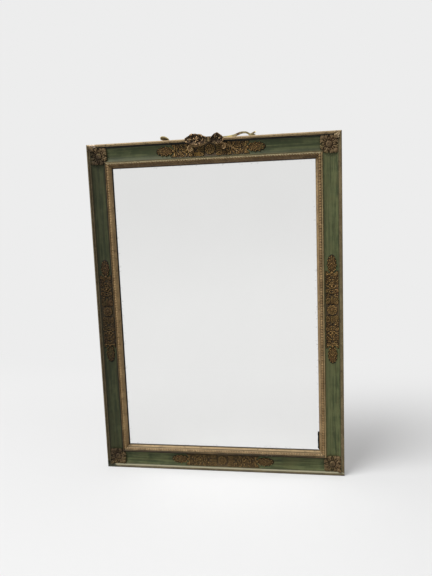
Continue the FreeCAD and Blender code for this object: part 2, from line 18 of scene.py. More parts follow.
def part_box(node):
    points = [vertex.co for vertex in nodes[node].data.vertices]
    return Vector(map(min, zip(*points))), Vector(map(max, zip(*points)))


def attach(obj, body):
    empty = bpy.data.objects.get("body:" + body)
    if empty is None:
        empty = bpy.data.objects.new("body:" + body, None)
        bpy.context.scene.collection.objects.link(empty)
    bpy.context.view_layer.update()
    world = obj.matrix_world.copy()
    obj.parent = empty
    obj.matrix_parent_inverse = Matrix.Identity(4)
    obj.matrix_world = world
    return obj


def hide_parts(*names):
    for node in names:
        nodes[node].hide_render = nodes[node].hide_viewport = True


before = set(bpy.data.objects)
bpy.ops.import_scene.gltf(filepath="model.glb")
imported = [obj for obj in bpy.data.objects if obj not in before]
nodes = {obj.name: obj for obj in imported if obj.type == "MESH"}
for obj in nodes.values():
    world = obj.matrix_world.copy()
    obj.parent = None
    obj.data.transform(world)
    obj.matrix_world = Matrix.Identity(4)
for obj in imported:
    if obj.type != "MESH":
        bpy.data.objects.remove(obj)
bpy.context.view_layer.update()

# %% [markdown]
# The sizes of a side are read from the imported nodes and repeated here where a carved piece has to
# sit on them. A side has its own directions: along it, inwards from its outer edge, and back.
# Every ornament is made once in those directions and then turned to its side.

# %% Sizes of a side
MM = 0.001
frame_low, frame_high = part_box("left_stile")
half_width = -frame_low.x
frame_height = frame_high.z
front_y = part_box("outer_moulding_bottom")[0].y
back_y = frame_high.y
outer_moulding_width = 10.5 * MM
frieze_width = 46.5 * MM
seat_depth = 8 * MM
frieze_hollow = 6.5 * MM
face_width = 79 * MM
frieze_end = outer_moulding_width + frieze_width
frieze_middle = outer_moulding_width + frieze_width / 2
cove_radius = ((frieze_width / 2) ** 2 + frieze_hollow ** 2) / (2 * frieze_hollow)
cove_centre_depth = seat_depth + frieze_hollow - cove_radius
sides = {
    "bottom": (0, 0, 0), "right": (-90, half_width, frame_height / 2),
    "top": (180, 0, frame_height), "left": (90, -half_width, frame_height / 2),
}
print("half width", half_width, "height", frame_height, "front", front_y, "back", back_y)


def cove_depth(inset):
    """Depth of the frieze's surface at a distance from the outer edge."""
    off = inset - frieze_middle
    if abs(off) > frieze_width / 2:
        return seat_depth
    return cove_centre_depth + math.sqrt(cove_radius ** 2 - off ** 2)


def side_place(side):
    """The turn and shift that takes a piece from a side's own directions to the mirror."""
    degrees, across, up = sides[side]
    return Matrix.Translation((across, front_y, up)) @ Matrix.Rotation(math.radians(degrees), 4, "Y")


# %% [markdown]
# A few small helpers keep the modelling steps short. Each operator acts on whatever is selected,
# so the first helper always starts from an empty selection. Points are picked by a rule about
# their place, which is what a hand would do with a box selection.

# %% Helpers for modelling
def select_only(*pieces):
    """Leave edit mode and select just these pieces; the first one is the active one."""
    if bpy.context.object and bpy.context.object.mode != "OBJECT":
        bpy.ops.object.mode_set(mode="OBJECT")
    bpy.ops.object.select_all(action="DESELECT")
    for piece in pieces:
        piece.select_set(True)
    if pieces:
        bpy.context.view_layer.objects.active = pieces[0]


@contextmanager
def points_of(piece, chosen=lambda place: True):
    """Edit mode, with the points selected that the rule picks, and object mode again after it."""
    select_only(piece)
    bpy.ops.object.mode_set(mode="EDIT")
    bpy.ops.mesh.select_mode(type="VERT")
    bpy.ops.mesh.select_all(action="DESELECT")
    bpy.ops.object.mode_set(mode="OBJECT")
    for point in piece.data.vertices:
        point.select = bool(chosen(point.co))
    bpy.ops.object.mode_set(mode="EDIT")
    yield
    bpy.ops.object.mode_set(mode="OBJECT")


def settle(piece):
    """Apply an object's place, turn and size to its mesh."""
    select_only(piece)
    bpy.ops.object.transform_apply(location=True, rotation=True, scale=True)
    return piece


def apply_modifier(piece, kind, **values):
    """Add a modifier, set its values and apply it."""
    select_only(piece)
    modifier = piece.modifiers.new(kind.lower(), kind)
    for key, value in values.items():
        setattr(modifier, key, value)
    bpy.ops.object.modifier_apply(modifier=modifier.name)


def copy_of(master, matrix):
    """A copy with its own mesh, moved by a matrix."""
    copy = master.copy()
    copy.data = master.data.copy()
    bpy.context.collection.objects.link(copy)
    copy.matrix_world = matrix
    return copy


def named(piece, name):
    piece.name = name
    piece.data.name = name
    return piece


def joined(pieces, name):
    """Several pieces made one, with their places applied."""
    select_only(*pieces)
    bpy.ops.object.join()
    return settle(named(bpy.context.object, name))


def outward(piece):
    """Merge doubled points and turn all faces outwards."""
    with points_of(piece):
        bpy.ops.mesh.remove_doubles(threshold=0.01 * MM)
        bpy.ops.mesh.normals_make_consistent(inside=False)
    return piece


def discard(*pieces):
    for piece in pieces:
        bpy.data.objects.remove(piece)


# %% [markdown]
# The castings are built like a modeller's wax: from a few leaf, ball and scroll shapes that are
# pressed together and then melted into one skin. So there are master shapes of unit size first.
# The leaf starts as a sphere whose poles are its two ends. It is drawn out to a point, and its
# middle line is pushed in for the groove.

# %% Master shapes of the castings
def pod(segments, rings):
    """A sphere of unit width from the origin along X, its poles at its two ends."""
    select_only()
    bpy.ops.mesh.primitive_uv_sphere_add(
        segments=segments, ring_count=rings, radius=0.5, location=(0.5, 0, 0), rotation=(0, math.pi / 2, 0))
    return settle(bpy.context.object)


def tapered(piece, side, steps):
    """Draw a pod in on one side of each step: (start along X, share of Y, share of Z)."""
    for start, share_y, share_z in steps:
        with points_of(piece, lambda place: side * (place.x - start) > 0):
            bpy.ops.transform.resize(value=(1, share_y, share_z), center_override=(start, 0, 0))
    return piece


def leaf_master():
    """An almond leaf of unit length from the origin along X, half as wide, with a groove."""
    leaf = tapered(pod(16, 12), 1, ((0.62, 0.86, 0.72), (0.82, 0.8, 0.62)))
    with points_of(leaf, lambda place: abs(place.z) < 0.06 and place.y < -0.05):
        bpy.ops.transform.translate(value=(0, 0.2, 0))
    return leaf


def ball(radius):
    """A berry, bead or eye."""
    select_only()
    bpy.ops.mesh.primitive_uv_sphere_add(segments=12, ring_count=8, radius=radius)
    return bpy.context.object


def scroll_master():
    """A ring round a raised eye, of unit radius, facing the front."""
    select_only()
    bpy.ops.mesh.primitive_torus_add(
        major_segments=24, minor_segments=8, major_radius=0.72, minor_radius=0.28,
        rotation=(math.pi / 2, 0, 0))
    return joined([settle(bpy.context.object), ball(0.34)], "scroll")


leaf_shape = leaf_master()
flute_shape = tapered(pod(12, 10), -1, ((0.6, 0.7, 0.62), (0.35, 0.7, 0.5)))
ball_shape = ball(1)
scroll_shape = scroll_master()
masters = [leaf_shape, flute_shape, ball_shape, scroll_shape]
print("masters", [len(master.data.polygons) for master in masters])

# %% [markdown]
# Layouts are written in millimetres, flat, with the height towards the front. A master is pressed
# in where it is wanted, and the melting then makes one skin of all of them.

# %% Pressing and melting
skin_voxel = 0.5 * MM


def pressed(master, place, size, turn=0.0):
    """A copy of a master at (along, across) with a size (along, height, across), turned in the
    plane of the face by some degrees. Its middle lies on the surface, so half of it is bedded."""
    move = Matrix.Translation((place[0] * MM, 0, place[1] * MM))
    spin = Matrix.Rotation(-math.radians(turn), 4, "Y")
    return copy_of(master, move @ spin @ Matrix.Diagonal((*(number * MM for number in size), 1)))


def leaf_from(base, tip, width, height):
    """A grooved leaf between two places."""
    run = Vector((tip[0] - base[0], tip[1] - base[1]))
    turn = math.degrees(math.atan2(run.y, run.x))
    return pressed(leaf_shape, base, (run.length, 2 * height, width), turn)


def moved(pieces, back, up=0.0):
    """Shift loose pieces back and up, in metres."""
    for piece in pieces:
        piece.matrix_world = Matrix.Translation((0, back, up)) @ piece.matrix_world
    return pieces


def melted(pieces, name, voxel=skin_voxel):
    """Press the pieces into one skin and smooth it, as a casting's surface is."""
    piece = joined(pieces, name)
    apply_modifier(piece, "REMESH", mode="VOXEL", voxel_size=voxel, use_smooth_shade=True)
    apply_modifier(piece, "SMOOTH", factor=0.5, iterations=1)
    return piece


def crumpled(piece, size, strength):
    """Press an uneven surface into a finely divided piece, as old carving and casting have."""
    unevenness = bpy.data.textures.new("unevenness", "CLOUDS")
    unevenness.noise_scale = size * MM
    unevenness.noise_depth = 2
    apply_modifier(piece, "DISPLACE", texture=unevenness, strength=strength * MM, mid_level=0.5)
    bpy.data.textures.remove(unevenness)
    return piece


print("a melted skin has faces of about", skin_voxel / MM, "mm")

# %% [markdown]
# Wear follows the shape: high places are rubbed bright, and dirt stays in the hollows. So each
# carved piece carries a number on its points that tells ridges from hollows. It compares a point
# with a smoothed copy of the surface. More rounds of smoothing find broader ridges.

# %% Marks for wear
RIDGE = "ridge"


def read_array(items, field, width, kind=float):
    values = np.empty(len(items) * width, kind)
    items.foreach_get(field, values)
    return values.reshape(-1, width)


def mark_wear(piece, rounds, reach, rise=None):
    """Store the attribute: about 1 on ridges, 0 in hollows. With a rise, low places on a flat
    layout count as hollows too, because hands and dusters don't reach them."""
    mesh = piece.data
    count = len(mesh.vertices)
    places = read_array(mesh.vertices, "co", 3)
    normals = read_array(mesh.vertices, "normal", 3)
    one, other = read_array(mesh.edges, "vertices", 2, int).T
    degree = np.bincount(one, minlength=count) + np.bincount(other, minlength=count)
    smooth = places.copy()
    for _ in range(rounds):
        total = np.zeros_like(places)
        np.add.at(total, one, smooth[other])
        np.add.at(total, other, smooth[one])
        smooth = total / np.maximum(degree, 1)[:, None]
    proud = np.einsum("ij,ij->i", places - smooth, normals)
    ridge = np.clip(0.5 + proud / (reach * MM), 0, 1)
    if rise:
        ridge *= np.clip((-places[:, 1] / MM - rise[0]) / (rise[1] - rise[0]), 0, 1)
    attribute = mesh.attributes.new(RIDGE, "FLOAT", "POINT")
    attribute.data.foreach_set("value", ridge.astype(np.float32))


print("wear is kept in the attribute", RIDGE)

# %% [markdown]
# One arm of a side's ornament runs from the round patera to an oval palmette. Between them two
# bands cross, with leaves in their forks and berries where they meet. All of it is laid out flat,
# made a little uneven, and then bent on to the hollow of the frieze, as a composition casting is
# while it is soft.

# %% One arm of the frieze ornament
def bedded(piece):
    """Bend a flat layout on to the frieze, with its middle on the frieze's middle line."""
    for point in piece.data.vertices:
        point.co.z += frieze_middle
        point.co.y += cove_depth(point.co.z)
    return piece


def crossing_band(hand):
    """A band that swings across the ornament: a chain of leaves and a raised rib."""
    start, end, sway, steps = 32, 118, 12, 16
    shares = [index / steps for index in range(steps + 1)]
    places = [(start + share * (end - start), hand * sway * math.cos(math.pi * share)) for share in shares]
    pieces = [leaf_from(one, other, 7.6, 3.2) for one, other in zip(places, places[2:])]
    return pieces + [pressed(ball_shape, place, (1.7, 4.4, 1.7)) for place in places[1::2]]


def fringe(hand):
    """Short leaves side by side, which close the ornament's edge."""
    leans = {40 + 8 * index: 5 if index < 5 else -5 for index in range(10)}
    return [leaf_from((along, hand * 11.5), (along + lean, hand * 19), 6.4, 3)
            for along, lean in leans.items()]


def shell(start, length, half_span):
    """A domed palmette: flutes fan out over it, with beads on each and a ball at the root."""
    pieces = [pressed(ball_shape, (start + length / 2, 0), (length / 2, 4.4, half_span))]
    count = 9
    for index in range(count):
        share = index / (count - 1) * 2 - 1
        swing = math.radians(125 * share)
        run = Vector((length * (0.5 + 0.5 * math.cos(swing)), half_span * 1.04 * math.sin(swing)))
        turn = math.degrees(math.atan2(run.y, run.x))
        pieces.append(pressed(flute_shape, (start, 0), (run.length, 9.8 - 3 * abs(share), 4.4), turn))
        for part in (0.5, 0.7, 0.9):
            pieces.append(pressed(ball_shape, (start + part * run.x, part * run.y), (2, 6.4, 1.7)))
    return pieces + [pressed(ball_shape, (start, 0), (5, 6, 5))]


# Leaves as base, tip, width and height; scrolls and berries as places along and across.
arm_leaves = [
    (17, 3, 43, 9, 10, 3.8), (16, 8, 33, 19, 10, 3.6), (48, 2, 64, 9, 6.4, 3.6), (103, 2, 86, 9, 6.4, 3.6),
    (112, 10, 127, 18.5, 8, 3.4), (75, 5, 75, 17, 7, 4),
]
arm_scrolls = [(33, 6.4), (60, 6.6), (90, 6.6)]
arm_berries = [(54, 3), (62, 2.6), (70, 6), (80, 6), (88, 2.6), (96, 3), (104, 6), (47, 8)]


def arm_layout():
    """All the pieces of one arm, laid out flat from the middle of the side outwards."""
    pieces = [leaf_from((16, 0), (50, 0), 12, 4.4), pressed(ball_shape, (75, 0), (4.6, 6, 4.6))]
    for hand in (-1, 1):
        for base, base_across, tip, tip_across, width, height in arm_leaves:
            pieces.append(leaf_from((base, hand * base_across), (tip, hand * tip_across), width, height))
        for along, radius in arm_scrolls:
            pieces.append(pressed(scroll_shape, (along, hand * 12), (radius, 10, radius)))
        for along, across in arm_berries:
            pieces.append(pressed(ball_shape, (along, hand * across), (2.3, 3.8, 2.3)))
        pieces += crossing_band(hand) + fringe(hand)
    for across in range(-4, 5):
        pieces.append(pressed(ball_shape, (114, across * 3.6), (2.4, 5, 2.2)))
        pieces.append(pressed(ball_shape, (108.6, across * 3.4), (1.7, 3.6, 1.9)))
    return pieces + shell(118, 58, 13)


arm_spread = 1.1
arm = crumpled(melted(arm_layout(), "arm", voxel=1.1 * skin_voxel), size=5, strength=1.2)
arm.data.transform(Matrix.Diagonal((1, 1, arm_spread, 1)))
mark_wear(arm, rounds=12, reach=1.3, rise=(0.6, 2.7))
bedded(arm)
print("arm faces", len(arm.data.polygons))

# %% [markdown]
# The round patera in the middle of a side is turned work: half of its outline is drawn as a row of
# points and spun about its middle. Petals and a ring of beads are then set on it and melted in.

# %% Patera
def spun(outline, name):
    """A turned shape facing the front, from (radius, height) points, about the origin."""
    select_only()
    bpy.ops.mesh.primitive_plane_add(size=1)
    piece = bpy.context.object
    piece.name = name
    with points_of(piece):
        bpy.ops.mesh.delete(type="VERT")
    mesh = piece.data
    mesh.vertices.add(len(outline))
    mesh.edges.add(len(outline) - 1)
    for index, (radius, height) in enumerate(outline):
        mesh.vertices[index].co = (radius * MM, -height * MM, 0)
    for index in range(len(outline) - 1):
        mesh.edges[index].vertices = (index, index + 1)
    mesh.update()
    with points_of(piece):
        bpy.ops.mesh.spin(steps=32, angle=2 * math.pi, center=(0, 0, 0), axis=(0, 1, 0))
    return outward(piece)


def towards(degrees, reach):
    """A place at a reach from the origin, in a direction."""
    angle = math.radians(degrees)
    return (reach * math.cos(angle), reach * math.sin(angle))


def round_row(master, count, radius, size, lift, first=0.0):
    """Copies of a shape round the origin, each pointing outwards, raised by a lift."""
    turns = [first + 360 * index / count for index in range(count)]
    return moved([pressed(master, towards(turn, radius), size, turn) for turn in turns], -lift * MM)


patera_outline = [
    (0, -4), (14.6, -4), (15, 1.4), (13, 2.6), (10, 3.2), (7.4, 3), (6, 4.2), (4, 5.6), (0, 6.3)]
patera_pieces = [spun(patera_outline, "patera_core")]
patera_pieces += round_row(leaf_shape, 9, 5, (11, 4, 6), lift=3)
patera_pieces += round_row(ball_shape, 9, 13.6, (2, 2.2, 2), lift=2.6, first=20)
patera = crumpled(melted(patera_pieces, "patera"), size=5, strength=0.8)
mark_wear(patera, rounds=14, reach=1.4, rise=(1.0, 3.8))
bedded(patera)
print("patera faces", len(patera.data.polygons))

# %% [markdown]
# A corner rosette has eight broad petals with a rib on each, eight narrow leaves over their
# joints, a rim of beads and a low boss. Two lobes towards the neighbouring corners make its
# outline squarer. At the top its leaf runs out over the mitre of the outer moulding; at the
# bottom the leaf is short. It is made about its own middle and then moved in.

# %% Corner rosette
rosette_inset = 38 * MM
leaf_turn = -135
rosette_outline = [
    (0, -7), (23, -7), (24, -0.8), (13, 0), (11, -1.2), (9.8, -0.6), (8.8, 2.2), (7, 3.4), (4, 3.8), (0, 3)]


def rosette_layout(leaf_reach):
    """The rosette about its own middle, its seat at the level of the mouldings' seats."""
    pieces = [spun(rosette_outline, "rosette_core")]
    pieces += round_row(flute_shape, 8, 8, (22, 8, 13), lift=-0.6, first=22.5)
    pieces += round_row(leaf_shape, 8, 12, (15, 10, 4.8), lift=-1, first=22.5)
    pieces += round_row(leaf_shape, 8, 11, (15, 7, 6), lift=-0.8)
    pieces += round_row(ball_shape, 16, 25.4, (2.8, 3.2, 2.8), lift=-0.6, first=11.25)
    for turn in (leaf_turn - 90, leaf_turn + 90):
        lobe = [pressed(flute_shape, towards(turn, 13), (22, 9, 19), turn),
                pressed(leaf_shape, towards(turn, 21), (14, 9, 8), turn)]
        pieces += moved(lobe, 0.4 * MM)
    root = towards(leaf_turn, 24.5)
    leaves = [pressed(leaf_shape, root, (leaf_reach * share, 4.6, width), leaf_turn + spread)
              for spread, share, width in ((0, 1, 12), (-38, 0.6, 7), (38, 0.6, 7))]
    stalk = [pressed(leaf_shape, towards(leaf_turn, 20), (20, 13, 8), leaf_turn)]
    return pieces + moved(leaves, -6.2 * MM) + moved(stalk, -0.6 * MM)


def corner_rosette(name, leaf_reach):
    piece = crumpled(melted(rosette_layout(leaf_reach), name), size=6, strength=1.4)
    mark_wear(piece, rounds=16, reach=2.0, rise=(-1.6, 2.2))
    place = (-half_width + rosette_inset, front_y + seat_depth, rosette_inset)
    piece.data.transform(Matrix.Translation(place))
    return piece


long_leaf_rosette = corner_rosette("rosette", 25)
short_leaf_rosette = corner_rosette("short_rosette", 15)
print("rosette faces", len(long_leaf_rosette.data.polygons))

# %% [markdown]
# The finished castings are copied to their places. A mirrored copy is turned inside out by the
# mirroring, so its faces are turned outwards again. Each copy stands for its own node.

# %% Place the castings
AS_MADE = Matrix.Identity(4)
MIRRORED = Matrix.Diagonal((-1, 1, 1, 1))
UPSIDE_DOWN = Matrix.Translation((0, 0, frame_height)) @ Matrix.Diagonal((1, 1, -1, 1))
arm_ends = {"bottom": ("right", "left"), "right": ("upper", "lower"),
            "top": ("left", "right"), "left": ("lower", "upper")}
castings = {}


def place_casting(master, matrix, node):
    """A copy of a finished shape, moved in its mesh, that stands for a node."""
    copy = named(copy_of(master, AS_MADE), "carved_" + node)
    copy.data.transform(matrix)
    if matrix.determinant() < 0:
        copy.data.flip_normals()
    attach(copy, "frame")
    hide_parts(node)
    castings[node] = copy


for side, ends in arm_ends.items():
    place_casting(patera, side_place(side), "patera_" + side)
    for end, hand in zip(ends, (AS_MADE, MIRRORED)):
        place_casting(arm, side_place(side) @ hand, f"spray_{side}_{end}")
rosettes = [(short_leaf_rosette, "bottom", AS_MADE), (long_leaf_rosette, "top", UPSIDE_DOWN)]
for master, level, turned in rosettes:
    for end, hand in (("left", AS_MADE), ("right", MIRRORED)):
        place_casting(master, turned @ hand, f"rosette_{level}_{end}")
discard(arm, patera, long_leaf_rosette, short_leaf_rosette)
print("castings", len(castings))

# %% [markdown]
# The bow is carved ribbon. A ribbon is a curve that draws a thin section with rolled edges along
# it. Each point of the curve has its own tilt, which rolls the ribbon, and its own radius, which
# makes it wider or narrower. The curve is then turned into a mesh.

# %% Carved ribbon
def path_through(name, kind, places):
    """A curve object with one spline of a kind through some places."""
    select_only()
    bpy.ops.curve.primitive_nurbs_path_add()
    path = bpy.context.object
    path.name = name
    path.data.splines.clear()
    spline = path.data.splines.new(kind)
    spline.points.add(len(places) - 1)
    for point, place in zip(spline.points, places):
        point.co = (*place, 1)
    return path, spline


def as_mesh(path):
    select_only(path)
    bpy.ops.object.convert(target="MESH")
    return outward(settle(bpy.context.object))


def ribbon_section(width, thickness):
    """The ribbon's section: thin, a little hollow, with thicker rolled edges."""
    select_only()
    bpy.ops.curve.primitive_nurbs_circle_add(radius=1)
    section = bpy.context.object
    section.name = "ribbon_section"
    section.data.resolution_u = 3
    outline = [(-1, 1), (-0.55, 0.35), (0.55, 0.35), (1, 1), (1, -1), (0.55, -1.1), (-0.55, -1.1), (-1, -1)]
    for point, (across, through) in zip(section.data.splines[0].points, outline):
        point.co = (across * width / 2 * MM, through * thickness / 2 * MM, 0, 1)
    return section


def ribbon(name, section, depth, rows):
    """A carved ribbon. Its rows are millimetres across and up from the middle of the top edge, a
    roll in degrees and a share of the width, and where it waves, how much further back it is
    than its depth behind the foremost line."""
    places = [(x * MM, front_y + (depth + sum(back)) * MM, frame_height + z * MM)
              for x, z, roll, width, *back in rows]
    path, spline = path_through(name, "NURBS", places)
    for point, row in zip(spline.points, rows):
        point.tilt = math.radians(row[2])
        point.radius = row[3]
    spline.order_u = 4
    spline.use_endpoint_u = True
    spline.resolution_u = 8
    curve = path.data
    curve.dimensions = "3D"
    curve.twist_mode = "MINIMUM"
    curve.bevel_mode = "OBJECT"
    curve.bevel_object = section
    curve.use_fill_caps = True
    return as_mesh(path)


loop_section = ribbon_section(13, 2.6)
tail_section = ribbon_section(9, 2.4)
streamer_section = ribbon_section(9.5, 2.4)
print("ribbon sections", loop_section.name, tail_section.name, streamer_section.name)

# %% [markdown]
# Each loop is filled with folds, melted into one skin and crumpled twice, because the carver left
# no smooth place in it. Folds are leaves from a base to a tip; knobs sit where folds meet.

# %% Loops of the bow
left_rim = ribbon("left_rim", loop_section, -4, [
    (-4, -4, 44, 0.6), (-12, 0, 40, 0.8), (-22, 4.6, 46, 0.9), (-37, 8.6, 62, 0.95), (-54, 8, 66, 1),
    (-64, 4.4, 50, 0.8), (-77, -1, 70, 0.5), (-70, -7, 76, 0.7), (-60, -13, 56, 0.95), (-43, -14, 44, 1),
    (-27, -14.5, 58, 0.8), (-13, -11, 46, 0.85), (-4, -6, 44, 0.6)])
right_rim = ribbon("right_rim", loop_section, -4, [
    (4, -5, -44, 0.6), (10, 0, -40, 0.75), (18, 6.4, -66, 1), (26, 10.4, -70, 0.85), (33, 5.6, -48, 0.8),
    (39, -1, -64, 0.95), (42, -7, -76, 0.8), (38, -12.5, -60, 0.9), (28, -14, -46, 1), (17, -14, -56, 0.85),
    (9, -11, -46, 0.8), (4, -6, -44, 0.6)])
left_fold = ribbon("left_fold", tail_section, -1, [
    (-4, -6, 40, 0.5), (-16, -3, 44, 0.7), (-29, 2, 50, 0.8), (-42, 3, 56, 0.8), (-52, -3, 60, 0.7),
    (-44, -8, 56, 0.7), (-30, -8, 50, 0.75), (-14, -8, 44, 0.7), (-4, -7, 40, 0.5)])
right_fold = ribbon("right_fold", tail_section, -1, [
    (4, -6, -40, 0.5), (12, -3, -46, 0.7), (21, 3, -56, 0.8), (27, -3, -60, 0.8), (22, -9, -56, 0.8),
    (12, -9, -46, 0.7), (4, -7, -40, 0.5)])


def at_top(pieces, depth):
    """Set flat pieces at the top edge, at a depth in millimetres behind the foremost line."""
    return moved(pieces, front_y + depth * MM, frame_height)


def folds(places, depth):
    """Leaves from a base to a tip: (x, z, x, z, width)."""
    return at_top([leaf_from((x, z), (tip_x, tip_z), width, 5)
                   for x, z, tip_x, tip_z, width in places], depth)


def crumpled_loop(name, ribbons_of, fold_places, backing, knob_places, knob_depth):
    """Fill a loop with folds, melt it and crumple it, coarsely and finely; then set it back, so
    that it stays inside the solid's box."""
    knobs = [pressed(ball_shape, place, (1.7, 2.4, 1.5)) for place in knob_places]
    pieces = ribbons_of + folds(fold_places, 0.6) + folds(backing, 3) + at_top(knobs, knob_depth)
    loop = melted(pieces, name)
    crumpled(loop, size=10, strength=9)
    crumpled(loop, size=4, strength=2.4)
    with points_of(loop):
        bpy.ops.transform.translate(value=(0, 1 * MM, 0))
    mark_wear(loop, rounds=10, reach=1.5)
    return loop


left_loop = crumpled_loop(
    "left_loop", [left_rim, left_fold],
    [(-8, -5, -40, 8, 8), (-10, -8, -58, 5, 7), (-14, -12, -66, -7, 7), (-22, 0, -50, -13, 5),
     (-26, -12, -34, 8, 5), (-44, -12, -50, 8, 6), (-36, -10, -60, 3, 5), (-16, -9, -24, 4, 5),
     (-54, -12, -62, 4, 6)],
    [(-4, -5, -74, -1, 26), (-14, -2, -66, 4, 18)],
    [(-37, 5), (-32, 0), (-40, 0), (-29, 5), (-46, 6), (-38, -6), (-26, -5), (-46, -2), (-34, 9),
     (-43, 10)], -4.4)
right_loop = crumpled_loop(
    "right_loop", [right_rim, right_fold],
    [(6, -6, 24, 10, 9), (8, -8, 34, 5, 7), (10, -11, 40, -7, 7), (15, -10, 22, 6, 6),
     (26, -12, 29, 6, 6), (19, -5, 31, 2, 10), (32, -12, 36, 2, 6)],
    [(4, -7, 42, -5, 18), (26, -13, 26, 10, 16)], [(17, 2), (36, -3), (14, -5), (38, -9)], -4.2)
print("loops' faces", len(left_loop.data.polygons), len(right_loop.data.polygons))

# %% [markdown]
# The tails hang down from the knot and curl under. The long end lies on the top edge and lifts off
# in waves; its tip is split. On the left only a broken stub of the ribbon is left.

# %% Tails and ends of the ribbon
left_tail = ribbon("left_tail", tail_section, 0.5, [
    (-4, -9, 50, 0.6), (-16, -17, 52, 0.6), (-30, -21, 54, 0.7, 1), (-44, -21, 58, 0.75, 1),
    (-57, -20, 62, 0.8), (-67, -25, 64, 0.9, -1), (-66, -35, 60, 0.85, -1), (-58, -37, 56, 0.8),
    (-54, -32, 52, 0.7, 1), (-58, -28, 50, 0.5, 1)])
right_tail = joined([
    ribbon("right_tail", tail_section, 0.5, [
        (4, -9, -50, 0.6), (15, -16, -52, 0.6), (27, -18, -54, 0.7, 1), (38, -17, -58, 0.75, 1),
        (48, -21, -62, 0.85, -1), (51, -29, -62, 0.85, -1), (46, -35, -58, 0.8), (40, -31, -54, 0.7, 1),
        (43, -26, -50, 0.5, 1)]),
    ribbon("right_end", tail_section, 1, [
        (34, -13, -50, 0.7), (46, -18, -54, 0.66), (57, -24, -58, 0.6), (67, -29, -60, 0.6, 0.6),
        (76, -36, -60, 0.54), (87, -45, -56, 0.4, 1)])], "right_tail")
streamer = joined([
    ribbon("streamer", streamer_section, 5, [
        (30, 1.2, 8, 1), (44, 1.3, 10, 1), (60, 1.1, 16, 0.96, 0.4), (74, 1.6, 36, 1),
        (86, 4.5, 60, 0.9, -0.4), (97, 9.4, 70, 0.8), (108, 11, 60, 0.7, 0.5), (119, 10, 50, 0.7),
        (126, 4, 40, 0.7), (131, 3.4, 40, 0.7), (138, 7, 50, 0.7), (146, 11, 60, 0.5)]),
    ribbon("lower_tip", streamer_section, 5, [
        (124, 2.6, 20, 0.8), (130, 2.2, 30, 0.85), (137, 3, 40, 0.72), (145, 2.2, 40, 0.46)])], "streamer")
stub = ribbon("stub", streamer_section, 5, [
    (-129, 1.6, 20, 0.9), (-134, 3, 40, 1.1), (-140, 5, 70, 1.3), (-148, 7.2, 84, 1.4),
    (-153, 7.4, 80, 1.3), (-157, 7, 70, 0.8)])
discard(loop_section, tail_section, streamer_section)
print("tails and ends", [len(piece.data.polygons) for piece in (left_tail, right_tail, streamer, stub)])

# %% [markdown]
# The knot is a rounded block with two folds pressed into its face and a waist. Then every piece of
# the bow gets its marks for wear, smooth shading with sharp edges kept, and its node.

# %% Knot, and the bow's pieces in place
knot_size = (19 * MM, 23 * MM, 17.5 * MM)
knot_level = frame_height - 5 * MM


def knot_piece():
    select_only()
    bpy.ops.mesh.primitive_cube_add(size=1, location=(0, front_y + 2 * MM, knot_level))
    knot = bpy.context.object
    knot.scale = knot_size
    settle(knot)
    with points_of(knot):
        bpy.ops.mesh.bevel(offset=3.4 * MM, segments=4, affect="EDGES")
        bpy.ops.mesh.subdivide(number_cuts=2)
    for fold in (-5.4 * MM, 5.4 * MM):
        with points_of(knot, lambda place: abs(place.x - fold) < 1.2 * MM and place.y < front_y):
            bpy.ops.transform.translate(value=(0, 1.3 * MM, 0))
    with points_of(knot, lambda place: abs(place.z - knot_level) < 4 * MM):
        bpy.ops.transform.resize(value=(0.9, 1, 1), center_override=(0, 0, knot_level))
    apply_modifier(knot, "SUBSURF", levels=1, render_levels=1)
    return knot


knot = knot_piece()
for piece in (left_tail, right_tail, streamer, stub, knot):
    mark_wear(piece, rounds=4, reach=1.2)
ribbons = {
    "bow_loop_left": left_loop, "bow_loop_right": right_loop, "bow_tail_left": left_tail,
    "bow_tail_right": right_tail, "ribbon_streamer_right": streamer, "ribbon_stub_left": stub,
    "bow_knot": knot,
}
for node, piece in ribbons.items():
    select_only(named(piece, "carved_" + node))
    bpy.ops.object.shade_smooth_by_angle(angle=math.radians(50))
    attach(piece, "frame")
    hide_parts(node)
    low = min(point.co.y for point in piece.data.vertices)
    print(piece.name, len(piece.data.polygons), "faces, front at", round((low - front_y) / MM, 1), "mm")

# %% [markdown]
# The sight moulding's swelling band is carved with a row of small leaves. One leaf is modelled
# with few faces, repeated by an Array along each side, and laid on the slope of the band.

# %% Leaves of the sight moulding
band_inset = 67 * MM
band_level = 5.6 * MM
leaf_pitch = 8.4 * MM
leaf_size = (7.2 * MM, 2.8 * MM, 8.4 * MM)
band_rise, band_run = 3.4 * MM, 8 * MM
band_slope = math.atan2(band_rise, band_run)


def band_leaf():
    """A small leaf, its tip towards the glass, about the middle of the band."""
    select_only()
    bpy.ops.mesh.primitive_uv_sphere_add(segments=10, ring_count=6, radius=0.5)
    leaf = settle(bpy.context.object)
    with points_of(leaf, lambda place: place.z > 0.2):
        bpy.ops.transform.resize(value=(0.62, 0.8, 1), center_override=(0, 0, 0.2))
    with points_of(leaf, lambda place: abs(place.x) < 0.1 and place.y < -0.1):
        bpy.ops.transform.translate(value=(0, 0.16, 0))
    leaf.scale = leaf_size
    leaf.rotation_euler = (-band_slope, 0, 0)
    leaf.location = (0, band_level, band_inset)
    return settle(leaf)


def leaf_row(side, length):
    """Leaves along one side, from mitre to mitre."""
    count = int((length - 2 * band_inset) / leaf_pitch)
    row = named(copy_of(small_leaf, AS_MADE), "leaf_row_" + side)
    apply_modifier(row, "ARRAY", count=count, use_relative_offset=False, use_constant_offset=True,
                   constant_offset_displace=(leaf_pitch, 0, 0))
    row.data.transform(side_place(side) @ Matrix.Translation((-leaf_pitch * (count - 1) / 2, 0, 0)))
    select_only(row)
    bpy.ops.object.shade_smooth()
    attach(row, "frame")
    return row


